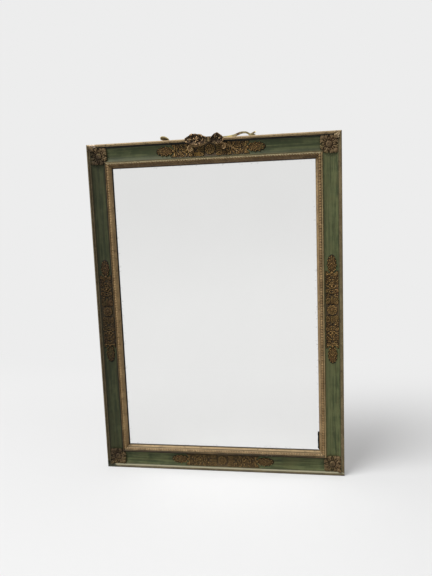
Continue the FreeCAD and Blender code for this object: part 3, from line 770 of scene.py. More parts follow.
small_leaf = band_leaf()
side_lengths = {"bottom": 2 * half_width, "top": 2 * half_width}
leaf_rows = [leaf_row(side, side_lengths.get(side, frame_height)) for side in sides]
discard(small_leaf)
print("leaves' faces", [len(row.data.polygons) for row in leaf_rows])

# %% [markdown]
# The hanging rings are bent wire. A ring is a smooth closed curve with a round bevel, and it rides
# on its own body, because it swings in the eye of its strap.

# %% Hanging rings
ring_corner = 2.6 * MM
wire_share = 0.99


def arc(centre, radius, start, turns, count):
    """Places on an arc, from a start angle clockwise by some degrees."""
    offs = [towards(start - turns * index / count, radius) for index in range(count + 1)]
    return [(centre[0] + across, centre[1] + up) for across, up in offs]


def wire_ring(node, body):
    """A wire ring with a straight bar in the eye, two bent corners and a half round bow."""
    low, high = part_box(node)
    middle = (low + high) / 2
    wire = (high.y - low.y) / 2
    half = (high.x - low.x) / 2 - wire
    corner_x, corner_z = half - ring_corner, high.z - wire - ring_corner
    outline = arc((corner_x, corner_z), ring_corner, 90, 90, 6)
    outline += arc((0, low.z + wire + half), half, 0, 180, 24)
    outline += arc((-corner_x, corner_z), ring_corner, 180, 90, 6)
    places = [(middle.x + across, middle.y, up) for across, up in outline]
    path, spline = path_through("wire_" + node, "POLY", places)
    spline.use_cyclic_u = True
    path.data.bevel_depth = wire * wire_share
    path.data.bevel_resolution = 4
    ring = as_mesh(path)
    bpy.ops.object.shade_smooth()
    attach(ring, body)
    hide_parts(node)
    return ring


rings = {
    "hanger_ring_left": wire_ring("hanger_ring_left", "ring_left"),
    "hanger_ring_right": wire_ring("hanger_ring_right", "ring_right"),
}
print("rings", [len(ring.data.polygons) for ring in rings.values()])

# %% [markdown]
# The straps are held by round-headed screws with a slot. A head is a cylinder whose rim is
# bevelled; two cuts across its face mark the slot, and the strip between them is pushed in. One
# screw is copied to the four places, each turned as a hand would have left it.

# %% Slotted screws
head_radius = 3.5 * MM
shank_radius = 1.7 * MM
strap_thickness = 2 * MM
slot_half = 0.5 * MM
screw_low, screw_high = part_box("hanger_screws")
head_seat = back_y + strap_thickness
head_height = screw_high.y - head_seat
rim_width = head_height * 0.45
slot_depth = head_height * 0.45


def rod(vertices, radius, low, high):
    """A round rod along Y between two levels."""
    select_only()
    bpy.ops.mesh.primitive_cylinder_add(
        vertices=vertices, radius=radius, depth=high - low, location=(0, (low + high) / 2, 0),
        rotation=(math.pi / 2, 0, 0))
    return settle(bpy.context.object)


def slotted_screw():
    """A screw about its head's back face, the head towards +Y."""
    head = rod(24, head_radius * 0.98, 0, head_height)
    with points_of(head, lambda place: place.y > head_height * 0.9):
        bpy.ops.mesh.bevel(offset=rim_width, segments=3, affect="EDGES")
    for across in (-slot_half, slot_half):
        with points_of(head):
            bpy.ops.mesh.bisect(plane_co=(across, 0, 0), plane_no=(1, 0, 0))
    with points_of(head, lambda place: abs(place.x) < slot_half * 1.1 and place.y > head_height * 0.98):
        bpy.ops.transform.translate(value=(0, -slot_depth, 0))
    return joined([head, rod(12, shank_radius * 0.9, screw_low.y - back_y, 0)], "slotted_screw")


screw_master = slotted_screw()
screw_copies = []
for hand in (-1, 1):
    for height, degrees in ((screw_low.z + head_radius, 24), (screw_high.z - head_radius, -58)):
        spot = Matrix.Translation((hand * (screw_high.x - head_radius), head_seat, height))
        spin = Matrix.Rotation(math.radians(degrees * hand), 4, "Y")
        screw_copies.append(copy_of(screw_master, spot @ spin))
discard(screw_master)
screws = joined(screw_copies, "slotted_screws")
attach(screws, "frame")
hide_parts("hanger_screws")
print("screws", len(screws.data.polygons), "faces, heads", round(head_height / MM, 2), "mm high")

# %% [markdown]
# Finishes are built from nodes. What a node gives out is kept as a value that can be added,
# subtracted and multiplied like a number, and each sum adds its own node. So a finish reads like a
# recipe. A mask is a value from 0 to 1 that tells where something is.

# %% Values and masks
class Value:
    """What a node gives out: a number, a place or a colour."""

    def __init__(self, tree, socket):
        self.tree = tree
        self.socket = socket

    def __add__(self, other):
        return compute("ADD", self, other)

    def __sub__(self, other):
        return compute("SUBTRACT", self, other)

    def __rsub__(self, other):
        return compute("SUBTRACT", other, self)

    def __mul__(self, other):
        return compute("MULTIPLY", self, other)

    __radd__ = __add__
    __rmul__ = __mul__


def feed(inputs, values):
    """Link values to sockets, or set the sockets' own numbers, places and colours."""
    for key, value in values.items():
        if isinstance(value, Value):
            value.tree.links.new(value.socket, inputs[key])
        else:
            inputs[key].default_value = value


def from_node(tree, kind, inputs, output=0, **settings):
    """Add a node with its settings and inputs, and hand back one of its outputs."""
    node = tree.nodes.new("ShaderNode" + kind)
    for key, value in settings.items():
        setattr(node, key, value)
    feed(node.inputs, inputs)
    return Value(tree, node.outputs[output])


def tree_of(*values):
    return next(value.tree for value in values if isinstance(value, Value))


def compute(operation, first, second=0.0):
    return from_node(tree_of(first, second), "Math", {0: first, 1: second}, operation=operation)


def absolute(value):
    return compute("ABSOLUTE", value)


def rising(value, low, high):
    """0 below low, 1 above high, and smooth between them."""
    limits = {"Value": value, "From Min": low, "From Max": high}
    return from_node(value.tree, "MapRange", limits, "Result", interpolation_type="SMOOTHSTEP")


def falling(value, low, high):
    """1 below low, 0 above high, and smooth between them."""
    return 1.0 - rising(value, low, high)


def band(value, low, high, soft):
    """1 where a value lies between two limits, with soft ends."""
    return rising(value, low - soft, low + soft) - rising(value, high - soft, high + soft)


print("a mask is one of", [mask.__name__ for mask in (rising, falling, band)])

# %% [markdown]
# Colours are written as they look on a screen, from 0 to 255. A finish is a base tone with layers
# over it, each through its own mask, as dirt and wear lie over paint. Patterns come from noise on
# the place on the piece, so they stay where they are when a ring swings.

# %% Colours, patterns and a new finish
def colour(red, green, blue):
    """A screen's colour in the shader's own values."""
    def shader_share(value):
        share = value / 255
        return share / 12.92 if share <= 0.04045 else ((share + 0.055) / 1.055) ** 2.4

    return (shader_share(red), shader_share(green), shader_share(blue), 1)


def blend(mask, first, second):
    """Mix two colours; three numbers are a screen's colour, and four are the shader's own."""
    tree = tree_of(mask, first, second)
    first, second = (paint if isinstance(paint, Value) or len(paint) == 4 else colour(*paint)
                     for paint in (first, second))
    return from_node(tree, "Mix", {0: mask, 6: first, 7: second}, 2, data_type="RGBA")


def layered(tone, *layers):
    """A tone with layers over it, each a (mask, colour), one after another."""
    for mask, paint in layers:
        tone = blend(mask, tone, paint)
    return tone


def noise(place, scale, detail=4.0, roughness=0.6):
    return from_node(place.tree, "TexNoise",
                     {"Vector": place, "Scale": scale, "Detail": detail, "Roughness": roughness})


def stretched(place, x, y, z):
    """The same place with each direction's scale changed, for grain and brush marks."""
    return from_node(place.tree, "Mapping", {"Vector": place, "Scale": (x, y, z)})


def finer(place, share):
    """The same place with all its scales changed by a value."""
    return from_node(place.tree, "VectorMath", {0: place, "Scale": share}, operation="SCALE")


def bump(height, strength, distance):
    return from_node(height.tree, "Bump", {"Height": height, "Strength": strength, "Distance": distance})


def split(place):
    """The X, Y and Z of a place."""
    return [from_node(place.tree, "SeparateXYZ", {0: place}, axis) for axis in range(3)]


def in_mm(metres):
    return metres * (1 / MM)


def finish_of(name):
    """A new finish: its material, its shader's inputs, and the place on the piece."""
    material = bpy.data.materials.new(name)
    material.use_nodes = True
    tree = material.node_tree
    shader = next(node for node in tree.nodes if node.type == "BSDF_PRINCIPLED")
    return material, shader.inputs, from_node(tree, "TexCoord", {}, "Object")


print("red of a screen's middle grey", round(colour(128, 128, 128)[0], 4))

# %% [markdown]
# What several finishes share is kept in node groups. Sockets called Place or Grain carry a place,
# and all the others carry a number.

# %% Helpers for groups
def add_socket(group, label, way, start=None):
    kind = "NodeSocketVector" if label in ("Place", "Grain") else "NodeSocketFloat"
    socket = group.interface.new_socket(label, in_out=way, socket_type=kind)
    if start is not None:
        socket.default_value = start


def group_of(name, inputs, outputs):
    """A node group: inputs with their start numbers, and the labels of the outputs."""
    group = bpy.data.node_groups.new(name, "ShaderNodeTree")
    for label, start in inputs.items():
        add_socket(group, label, "INPUT", start)
    for label in outputs:
        add_socket(group, label, "OUTPUT")
    source = group.nodes.new("NodeGroupInput")
    given = {label: Value(group, source.outputs[label]) for label in inputs}
    return group, given, group.nodes.new("NodeGroupOutput").inputs


def use_group(group, **values):
    """Put a group into its values' tree and hand back its outputs by name."""
    tree = tree_of(*values.values())
    node = tree.nodes.new("ShaderNodeGroup")
    node.node_tree = group
    feed(node.inputs, values)
    return {output.name: Value(tree, output) for output in node.outputs}


print("node groups so far", len(bpy.data.node_groups))

# %% [markdown]
# Grain, brush marks and wear all run along the moulding that they are on, and they turn at the
# mitre. This group works out, from a place on the mirror, its distances in millimetres from the
# outer edge, from the side's middle, from the front and from the nearest mitre. Each side gets a
# mask too, with which the finishes paint shade and light that differ from side to side, and a few
# marks that lie on one side only.

# %% Group: place on a side
def side_group():
    group, given, wanted = group_of("place_on_side", {"Place": None}, [
        "Inset", "Middle", "Depth", "Mitre", "Across", "Height", "Grain", "Left", "Right", "Top", "Bottom"])
    x, y, z = split(given["Place"])
    from_side = half_width - absolute(x)
    from_end = compute("MINIMUM", z, frame_height - z)
    inset = compute("MINIMUM", from_side, from_end)
    upright = compute("LESS_THAN", from_side, from_end)
    level = 1.0 - upright
    along = z * upright + x * level
    depth = y - front_y
    top = compute("GREATER_THAN", z, frame_height / 2) * level
    left = upright * compute("LESS_THAN", x, 0.0)
    grain = from_node(group, "CombineXYZ", {
        0: along, 1: inset + compute("SIGN", x) * upright * 3.7, 2: depth + top * 5.3})
    feed(wanted, {
        "Inset": in_mm(inset), "Middle": in_mm(absolute(along - upright * (frame_height / 2))),
        "Depth": in_mm(depth), "Mitre": in_mm(absolute(from_side - from_end)), "Across": in_mm(x),
        "Height": in_mm(z), "Grain": grain, "Left": left, "Right": upright - left, "Top": top,
        "Bottom": level - top})
    return group


def by_side(side, **shares):
    """A number that is different on each side of the frame; sides that aren't named have 0."""
    return sum(side[name] * share for name, share in shares.items())


side_of = side_group()
print("group", side_of.name)

# %% [markdown]
# Blotches and brush marks are used by every finish of the frame, each with its own scale. Blotches
# are two noises, one large and one small, cut off at a level. Brush marks are a noise that is
# drawn out along the grain. Pine has growth rings drawn out along X, with fine pores.

# %% Groups: blotches, brush marks and pine grain
def blotch_group():
    group, given, wanted = group_of(
        "blotches", {"Place": None, "Scale": 20.0, "Level": 0.5, "Softness": 0.1}, ["Mask"])
    large = noise(given["Place"], given["Scale"], 5.0, 0.65)
    small = noise(given["Place"], given["Scale"] * 5.3, 3.0, 0.6)
    high = given["Level"] + given["Softness"]
    feed(wanted, {"Mask": rising(large * 0.72 + small * 0.28, given["Level"], high)})
    return group


def brush_group():
    group, given, wanted = group_of("brush_marks", {"Grain": None, "Fineness": 1.0}, ["Marks", "Waves"])
    scaled = finer(given["Grain"], given["Fineness"])
    feed(wanted, {"Marks": noise(stretched(scaled, 14, 620, 620), 1.0, 4.0, 0.65),
                  "Waves": noise(stretched(scaled, 7, 150, 150), 1.0, 3.0, 0.55)})
    return group


def grain_group():
    group, given, wanted = group_of("pine_grain", {"Place": None, "Fineness": 1.0}, ["Rings"])
    scaled = finer(given["Place"], given["Fineness"])
    rings = compute("FRACT", noise(stretched(scaled, 1.6, 70, 70), 1.0, 3.0, 0.5) * 6.0)
    pores = noise(stretched(scaled, 30, 900, 900), 1.0, 2.0, 0.5)
    feed(wanted, {"Rings": rising(rings, 0.35, 0.95) * 0.65 + pores * 0.35})
    return group


blotches_of = blotch_group()
brush_of = brush_group()
grain_of = grain_group()
print("groups", blotches_of.name, brush_of.name, grain_of.name)


def blotches(place, scale, level, softness):
    return use_group(blotches_of, Place=place, Scale=scale, Level=level, Softness=softness)["Mask"]


def pine_rings(place, fineness):
    return use_group(grain_of, Place=place, Fineness=fineness)["Rings"]


def side_and_brush(place, fineness):
    side = use_group(side_of, Place=place)
    return side, use_group(brush_of, Grain=side["Grain"], Fineness=fineness)


# %% [markdown]
# The frame's flat is painted olive green with a brush, along each side. Thin paint shows paler
# streaks, and age has yellowed it in broad patches. Where the paint meets the mouldings it is
# darker, partly from dirt and partly from painted shade, and the ground under and round the
# castings is brown. Painted shade lies on the top's frieze and over the whole left side, and
# painted light on the right's frieze. The back was never painted, so the same wood shows as bare
# pine there. All distances are in millimetres.

# %% Finish: olive paint
paint_start, paint_end = in_mm(outer_moulding_width), in_mm(frieze_end)
middle_height = in_mm(frame_height / 2)
half_across = in_mm(half_width)
wood_depth = in_mm(back_y - front_y)
corner_inset = in_mm(rosette_inset)


def olive_paint():
    material, shader, place = finish_of("olive_paint")
    side, brush = side_and_brush(place, 1.0)
    inset, marks = side["Inset"], brush["Marks"]
    patchy = brush["Waves"] * 0.62 + noise(place, 26.0, 5.0, 0.65) * 0.38
    # Darker where the paint meets the mouldings: dirt, and painted shade under the mouldings' edges, with a
    # strength on each side that follows the painted shade.
    near_outer = falling(inset, paint_start + 1, paint_start + 5)
    near_outer = near_outer * by_side(side, Left=0.6, Right=0.5, Top=1.0, Bottom=0.4)
    near_sight = rising(inset, paint_end - 8, paint_end - 2)
    near_sight = near_sight * by_side(side, Left=1.0, Right=0.1, Top=0.15, Bottom=0.8)
    grime_and_shade = compute("MAXIMUM", near_outer, near_sight) * rising(noise(place, 30.0), 0.2, 0.5)
    chip = band(inset, 11, 15.5, 0.6) * side["Right"] * band(side["Height"], 500, 526, 2)
    under = falling(side["Middle"], 112, 124) * band(inset, 12, 55, 2)
    under = under * rising(noise(place, 160.0), 0.15, 0.4)
    off_across = absolute(absolute(side["Across"]) - (half_across - corner_inset))
    off_up = absolute(absolute(side["Height"] - middle_height) - (middle_height - corner_inset))
    cornered = falling(compute("MAXIMUM", off_across, off_up) + noise(place, 110.0) * 6, 26, 30)
    tone = layered(
        blend(rising(patchy, 0.42, 0.58), (50, 58, 32), (82, 87, 54)),
        (blotches(place, 7.0, 0.48, 0.2) * 0.5, (78, 78, 44)),  # yellowed patches
        (rising(marks, 0.54, 0.74) * 0.35, (96, 98, 64)),  # thin streaks
        (blotches(stretched(side["Grain"], 0.3, 2.2, 2.2), 60.0, 0.5, 0.14) * 0.45, (66, 60, 36)),
        # dirt and painted shade along the mouldings
        (grime_and_shade * 0.8, (32, 28, 14)),
        (blotches(place, 150.0, 0.68, 0.03) * 0.7, (120, 112, 84)),  # pale specks
        (falling(side["Mitre"], 0.2, 0.7) * 0.8, (30, 28, 20)),  # open mitres
        (chip * 0.9, (30, 22, 10)),
        (rising(inset, 26, 52) * side["Top"] * 0.42, (30, 30, 2)),  # shade at the top
        (rising(inset, 28, 50) * side["Right"] * 0.3, (126, 130, 84)),  # light on the right
        (under * 0.95, (70, 54, 30)),  # under the castings
        (cornered * 0.85, (62, 50, 31)),  # round the rosettes
        # painted shadow under the top's outer moulding
        (band(inset, 9, 14, 0.6) * side["Top"] * 0.9, (12, 9, 3)),
        # painted shade over the whole left side
        (side["Left"] * 0.56, (14, 14, 2)))
    bare = blend(pine_rings(side["Grain"], 1.0), (182, 148, 102), (138, 104, 66))
    behind = rising(side["Depth"] + marks * 2.4, wood_depth + 0.2, wood_depth + 1.0)
    unpainted = compute("MAXIMUM", behind, rising(inset, paint_end + 1, paint_end + 3))
    feed(shader, {
        "Base Color": blend(unpainted, tone, bare), "Roughness": 0.44 + marks * 0.24 + unpainted * 0.2,
        "Normal": bump(marks, 0.35, 0.25 * MM), "Specular IOR Level": 0.2})
    return material


olive = olive_paint()
print("finish", olive.name)

# %% [markdown]
# The outer and sight mouldings are gilded. Old gilding is never one colour: it is rubbed to a
# brown ground on the high lines, dull where dirt lies, and pale where it was cleaned. A list of
# bands across the moulding paints each member's light and shade on each side, as the light on
# the real one falls, and each side is darkened as a whole by painted shade.

# %% Finish: gilt mouldings
def gilt(name, leaf, ground, bands, gloss, side_shade):
    """Gilding over a brown ground; bands are (sides, low, high, soft, share, colour) across the
    side, most of them painted light and shade, and the last argument says how much darker each
    side is painted as a whole, as painted shade."""
    material, shader, place = finish_of(name)
    side, brush = side_and_brush(place, 1.6)
    across, height, waves = side["Across"], side["Height"], brush["Waves"]
    tone = blend(blotches(place, 24.0, 0.42, 0.22), *leaf)
    broken = rising(waves, 0.18, 0.5)
    for on_sides, low, high, soft, share, paint in bands:
        mask = band(side["Inset"], low, high, soft) * sum(side[one] for one in on_sides.split())
        tone = blend(mask * broken * share, tone, paint)
    worn = blotches(side["Grain"], 95.0, 0.55, 0.08)
    cream = band(half_across - absolute(across), 12, 30, 2) * side["Top"]
    cream = cream * compute("LESS_THAN", across, 0.0)
    painted = falling(across + half_across + height * 1.5, 34, 46)
    tone = layered(
        tone,
        (worn * 0.75, ground),
        (blotches(place, 210.0, 0.62, 0.05) * 0.6, (196, 184, 152)),  # bright flecks
        (falling(side["Mitre"], 0.2, 0.7) * 0.85, (34, 26, 16)),  # open mitres
        # painted shade over each side as a whole
        (by_side(side, **side_shade), (20, 17, 11)),
        (band(height, 6.6, 11, 0.6) * rising(waves, 0.2, 0.45) * 0.75, (162, 158, 134)),  # painted sheen along the bottom moulding's upper edge
        (cream * 0.8, (196, 178, 156)),  # pale ground, top left
        (painted * 0.85, (38, 42, 28)))  # overpaint, bottom left
    feed(shader, {
        "Base Color": tone, "Metallic": gloss - worn * gloss, "Roughness": 0.42 + brush["Marks"] * 0.3,
        "Normal": bump(brush["Marks"] + worn, 0.3, 0.2 * MM), "Specular IOR Level": 0.2})
    return material


# Bands across the outer moulding. The two on every side are its darker lines; the others are painted light
# and shade: pale where the top's moulding faces up, painted shadow where it turns down into the frieze, and
# painted shade on the uprights' inner edge and on the bottom.
outer_bands_and_shading = [
    ("Left Right Top Bottom", -1, 1.0, 0.5, 0.7, (74, 60, 44)),
    ("Left Right Top Bottom", 4.8, 6.2, 0.5, 0.5, (72, 62, 40)),
    ("Top", 0, 5, 0.5, 0.7, (162, 140, 108)), ("Top", 8.2, 11, 0.4, 1.2, (14, 10, 3)),
    ("Bottom", 1.6, 6.2, 0.6, 0.75, (66, 62, 48)), ("Left Right", 8.6, 11, 0.5, 0.5, (60, 54, 32)),
    ("Top", 4.4, 8.2, 0.4, 0.95, (160, 136, 98)),
]
# Bands across the sight moulding, most of them painted light and shade: on the top the outer flank has a
# painted highlight and the slope to the glass painted shade, on the bottom the flank is in painted shadow
# and the slope is painted lit, and on the top, left and bottom the bands next to the glass are painted
# shade.
sight_bands_and_shading = [
    ("Left Bottom", 56, 59.6, 0.4, 1.2, (14, 10, 4)), ("Right", 56, 58.4, 0.4, 0.5, (84, 76, 46)),
    ("Top", 56, 60.4, 0.4, 0.95, (58, 54, 26)), ("Top", 60.6, 65, 0.3, 0.95, (204, 188, 148)),
    ("Left", 59.4, 61, 0.4, 0.6, (52, 42, 22)), ("Right", 59.2, 61.6, 0.4, 0.5, (150, 136, 98)),
    ("Bottom", 58.4, 63.6, 0.4, 0.95, (40, 32, 16)), ("Bottom", 63.6, 67, 0.3, 0.8, (186, 168, 130)),
    ("Left Right", 62, 63.8, 0.3, 0.6, (50, 36, 19)), ("Right Bottom", 64.2, 71.0, 0.2, 0.5, (60, 45, 25)),
    ("Left", 64.2, 73, 0.3, 0.3, (168, 142, 100)), ("Right", 71.2, 72.4, 0.3, 0.6, (56, 42, 22)),
    ("Left Right", 72.8, 82, 0.6, 0.5, (146, 122, 86)), ("Bottom", 70, 92, 0.6, 0.5, (160, 140, 106)),
    ("Bottom", 71, 73.4, 0.3, 0.85, (62, 48, 26)), ("Bottom", 78, 81, 0.5, 0.3, (92, 80, 50)),
    ("Top", 65.6, 84, 0.4, 0.5, (56, 38, 20)), ("Top", 76.6, 84, 0.5, 0.9, (34, 18, 14)),
    ("Left", 76.4, 84, 0.4, 1.4, (18, 13, 8)), ("Bottom", 76.9, 84, 0.4, 1.4, (44, 34, 20)),
]
# The small leaves are painted in shade on the top and painted lighter on the bottom and the left.
leaf_bands_and_shading = [("Top", 60, 80, 0.5, 0.5, (54, 38, 20)), ("Bottom", 60, 80, 0.5, 0.2, (150, 136, 110)),
                ("Left", 60, 80, 0.5, 0.25, (178, 148, 104))]
# The last argument of each finish is how much painted shade darkens each side.
outer_gilt = gilt("outer_gilt", ((112, 97, 68), (140, 124, 90)), (58, 46, 28), outer_bands_and_shading, 0.2,
                  {"Left": 0.5, "Right": 0.36, "Bottom": 0.16})
sight_gilt = gilt("sight_gilt", ((100, 79, 50), (134, 110, 74)), (58, 41, 20), sight_bands_and_shading, 0.2,
                  {"Right": 0.06, "Bottom": 0.04})
leaf_gilt = gilt("leaf_gilt", ((112, 88, 56), (148, 122, 84)), (60, 42, 22), leaf_bands_and_shading, 0.25,
                 {"Right": 0.06})
print("finishes", outer_gilt.name, sight_gilt.name, leaf_gilt.name)

# %% [markdown]
# The castings were bronzed over a dark ground. Hands and dusters have rubbed the ridges pale, the
# hollows are nearly black, and in between the powder has turned greenish or pinkish brown. The
# attribute stored on the points tells ridges from hollows.

# %% Finish: bronzed castings and ribbon
patch_depth = 6 * MM


def bronzed(name, dark, middle, rubbed, low, high, pale, redness=0.6, patches=()):
    """Bronze powder over a dark ground: rubbed between the ridges' low and high, with pale rims at
    the top right, and patches as (x, z from the top, radius, share, colour)."""
    material, shader, place = finish_of(name)
    side = use_group(side_of, Place=place)
    fine = noise(place, 900.0, 3.0, 0.6)
    ridge = from_node(place.tree, "Attribute", {}, "Fac", attribute_name=RIDGE) + (fine - 0.5) * 0.34
    body = layered(
        blend(blotches(place, 34.0, 0.5, 0.12) * 0.6, middle, (68, 66, 30)),
        (blotches(stretched(place, 1.3, 1.1, 0.9), 27.0, 0.53, 0.1) * redness, (102, 66, 40)))
    top = rising(ridge, low, high)
    tone = blend(top * 0.85, blend(rising(ridge, low - 0.22, low), dark, body), rubbed)
    for x, z, radius, share, paint in patches:
        spot = (x * MM, front_y + patch_depth, frame_height + z * MM)
        away = from_node(place.tree, "VectorMath", {0: place, 1: spot}, "Value", operation="DISTANCE")
        tone = blend(falling(in_mm(away), radius * 0.75, radius) * share, tone, paint)
    cream = falling(side["Inset"], 11, 14) * rising(noise(place, 120.0), 0.4, 0.55)
    cream = cream * (side["Top"] + side["Right"]) * rising(side["Height"], middle_height, middle_height + 1)
    cream = cream * compute("GREATER_THAN", side["Across"], 0.0)
    # Pale rims at the top right; the castings darker on the bottom; and painted shade over the left side's
    # castings.
    tone = layered(
        tone, (cream * 0.5, pale), (side["Bottom"] * 0.34, (62, 52, 32)), (side["Left"] * 0.6, (13, 10, 7)))
    feed(shader, {
        "Base Color": tone, "Metallic": top * 0.45, "Roughness": 0.66 - top * 0.24,
        "Normal": bump(fine, 0.3, 0.2 * MM), "Specular IOR Level": 0.12})
    return material


bosses = [(hand * (half_across - corner_inset), up, 8, 0.6, (60, 47, 30))
          for hand in (-1, 1) for up in (-corner_inset, corner_inset - in_mm(frame_height))]
streamer_tones = [
    (64, 2, 11, 0.5, (196, 176, 96)), (86, 6, 16, 0.75, (66, 44, 30)), (-143, 0, 9, 0.6, (60, 46, 30))]
cast_bronze = bronzed("cast_bronze", (24, 16, 6), (78, 57, 27), (160, 129, 80), 0.5, 0.96, (120, 96, 60),
                      patches=[(-41, -46, 13, 0.4, (150, 118, 56))])
ribbon_gilt = bronzed("ribbon_gilt", (8, 5, 2), (64, 48, 31), (184, 152, 112), 0.56, 1.0, (52, 38, 22))
tail_gilt = bronzed("tail_gilt", (26, 18, 9), (104, 80, 50), (206, 176, 128), 0.5, 0.9, (120, 90, 56), 0.5)
end_gilt = bronzed("end_gilt", (22, 16, 9), (78, 64, 38), (178, 162, 116), 0.5, 0.9, (150, 140, 100), 0.4,
                   streamer_tones)
rosette_bronze = bronzed("rosette_bronze", (50, 38, 24), (90, 72, 48), (140, 120, 88), 0.44, 0.96,
                         (186, 166, 132), 0.3, bosses)
print("finishes", cast_bronze.name, ribbon_gilt.name, tail_gilt.name, end_gilt.name, rosette_bronze.name)

# %% [markdown]
# The glass is silvered at its back. Light goes in and comes back, so a metal with almost no
# roughness is right for it. Damp has crept in at the sight edge, where small dark spots without
# silver crowd together and thin out towards the middle. A thin dark line of painted shade runs
# right along the sight edge.

# %% Finish: old mirror
def old_mirror():
    material, shader, place = finish_of("old_mirror")
    side = use_group(side_of, Place=place)
    inset, sight_edge = side["Inset"], in_mm(face_width)
    crowded = blotches(place, 130.0, 0.56, 0.05) * (falling(inset, sight_edge - 1, sight_edge + 12) * 0.4)
    lost_silver_and_edge_shade = compute("MAXIMUM", crowded, blotches(place, 60.0, 0.72, 0.02) * 0.3)
    # A thin dark line of painted shade right along the sight edge, joined with the spots without silver.
    lost_silver_and_edge_shade = compute("MAXIMUM", lost_silver_and_edge_shade, falling(inset, sight_edge, sight_edge + 1.4) * 0.75)
    # A dark strip on the glass by the right sight edge, low down.
    dark_strip = band(inset + noise(place, 90.0) * 3, 70, 86, 0.3) * side["Right"]
    dark_strip = dark_strip * band(side["Height"], 60, 142, 1)
    haze = noise(place, 4.0, 4.0, 0.6)
    feed(shader, {
        "Base Color": layered(
            blend(haze, (237, 237, 236), (242, 242, 241)), (lost_silver_and_edge_shade, (92, 86, 76)), (dark_strip, (24, 17, 9))),
        "Metallic": 1.0, "Roughness": haze * 0.03 + lost_silver_and_edge_shade * 0.4})
    return material


silvered = old_mirror()
print("finish", silvered.name)

# %% [markdown]
# What nobody sees is plain: pine keys and blocks, thin brown backboards with their grain across
# the mirror, rusty nails and screws, and dull brass straps and rings. Each still has its own grain
# or tarnish, because the mirror may be seen from behind.

# %% Finishes of the back
def bare_wood(name, dark, pale, fineness, stain, joints=()):
    """Unpainted wood; above each joint another board starts, of another tone and grain."""
    material, shader, place = finish_of(name)
    height = in_mm(split(place)[2])
    rings = pine_rings(place, fineness)
    tone = blend(rings, pale, dark)
    for index, joint in enumerate(joints):
        other = blend(pine_rings(stretched(place, 1.2 + 0.3 * index, 1, 0.8), fineness), pale, dark)
        tone = layered(
            tone,
            (rising(height, joint - 0.1, joint + 0.1), blend(0.1 + 0.25 * index, other, stain)),
            (band(height, joint - 0.9, joint + 0.9, 0.4) * 0.85, (26, 18, 12)))
    damp = blotches(place, 9.0, 0.5, 0.14)
    feed(shader, {
        "Base Color": blend(damp * 0.45, tone, stain), "Roughness": 0.68 + rings * 0.14,
        "Normal": bump(rings, 0.3, 0.3 * MM)})
    return material


def old_metal(name, clean, dull, spotted, metallic, scale):
    """Metal that has clouded over, with spots of rust or tarnish."""
    material, shader, place = finish_of(name)
    spots = blotches(place, scale * 3, 0.58, 0.08)
    clouded = blend(blotches(place, scale, 0.42, 0.2), clean, dull)
    feed(shader, {
        "Base Color": blend(spots * 0.8, clouded, spotted),
        "Metallic": metallic - spots * (0.6 * metallic), "Roughness": 0.36 + spots * 0.35,
        "Normal": bump(spots, 0.25, 0.1 * MM)})
    return material


board_joints = [in_mm(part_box(node)[1].z) for node in ("backboard_bottom", "backboard_middle")]
pine = bare_wood("bare_pine", (136, 102, 64), (186, 152, 106), 1.0, (112, 84, 54))
boards = bare_wood("back_boards", (92, 68, 44), (134, 104, 70), 0.7, (80, 60, 40), board_joints)
iron = old_metal("rusty_iron", (72, 66, 60), (52, 46, 42), (98, 58, 34), 0.7, 160.0)
brass = old_metal("dull_brass", (132, 108, 56), (78, 62, 34), (40, 34, 22), 0.9, 120.0)
print("finishes", pine.name, boards.name, iron.name, brass.name)

# %% [markdown]
# Every node of the construction model that stays in sight gets one of these finishes. The replaced
# nodes get theirs too, so that none is left plain, and the carved pieces get those of the nodes
# that they stand for. A node's finish is told by how its name starts.

# %% Finish every node and piece
finish_rules = {
    ("bottom_rail", "right_stile", "top_rail", "left_stile"): olive, ("outer_moulding",): outer_gilt,
    ("sight_moulding",): sight_gilt, ("patera", "spray"): cast_bronze, ("rosette",): rosette_bronze,
    ("bow_tail",): tail_gilt, ("bow",): ribbon_gilt, ("ribbon",): end_gilt, ("mirror_glass",): silvered,
    ("backboard_nails", "hanger_screws"): iron, ("backboard",): boards,
    ("mitre_keys", "glazing_blocks"): pine, ("hanger",): brass,
}


def finish_for(name):
    return next(finish for starts, finish in finish_rules.items() if name.startswith(starts))


def dressed(piece, finish):
    piece.data.materials.clear()
    piece.data.materials.append(finish)


for name, node in nodes.items():
    if not node.material_slots:
        select_only(node)
        bpy.ops.object.material_slot_add()
    for material_slot in node.material_slots:
        material_slot.material = finish_for(name)
carved = castings | ribbons | rings | {"hanger_screws": screws}
for name, piece in carved.items():
    dressed(piece, finish_for(name))
for row in leaf_rows:
    dressed(row, leaf_gilt)
print("finished nodes", len(nodes), "carved pieces", len(carved) + len(leaf_rows))

# %% [markdown]
# The camera stands where the photograph was taken from: a little to the right, at the height of a
# person who crouches, and tipped down by eight degrees. Its three directions are written down and
# made into its turn. Its lens is worked out from the photograph's focal length in pixels.

# %% Camera
focal_length, picture_height = 582.2, 576
camera_place = (0.3276, -1.8565, 0.8965)
camera_data = bpy.data.cameras.new("camera")
camera = bpy.data.objects.new("camera", camera_data)
bpy.context.collection.objects.link(camera)
camera_right = Vector((0.9849, 0.1684, -0.0391)).normalized()
camera_up = Vector((0.0139, 0.1480, 0.9889)).normalized()
camera_back = camera_right.cross(camera_up).normalized()
turn = Matrix((camera_right, camera_back.cross(camera_right), camera_back)).transposed()
camera.matrix_world = Matrix.Translation(camera_place) @ turn.to_4x4()
camera_data.sensor_fit = "VERTICAL"
camera_data.sensor_height = 36
camera_data.lens = camera_data.sensor_height * focal_length / picture_height
bpy.context.scene.camera = camera
print("camera looks along", [round(value, 3) for value in -camera_back])

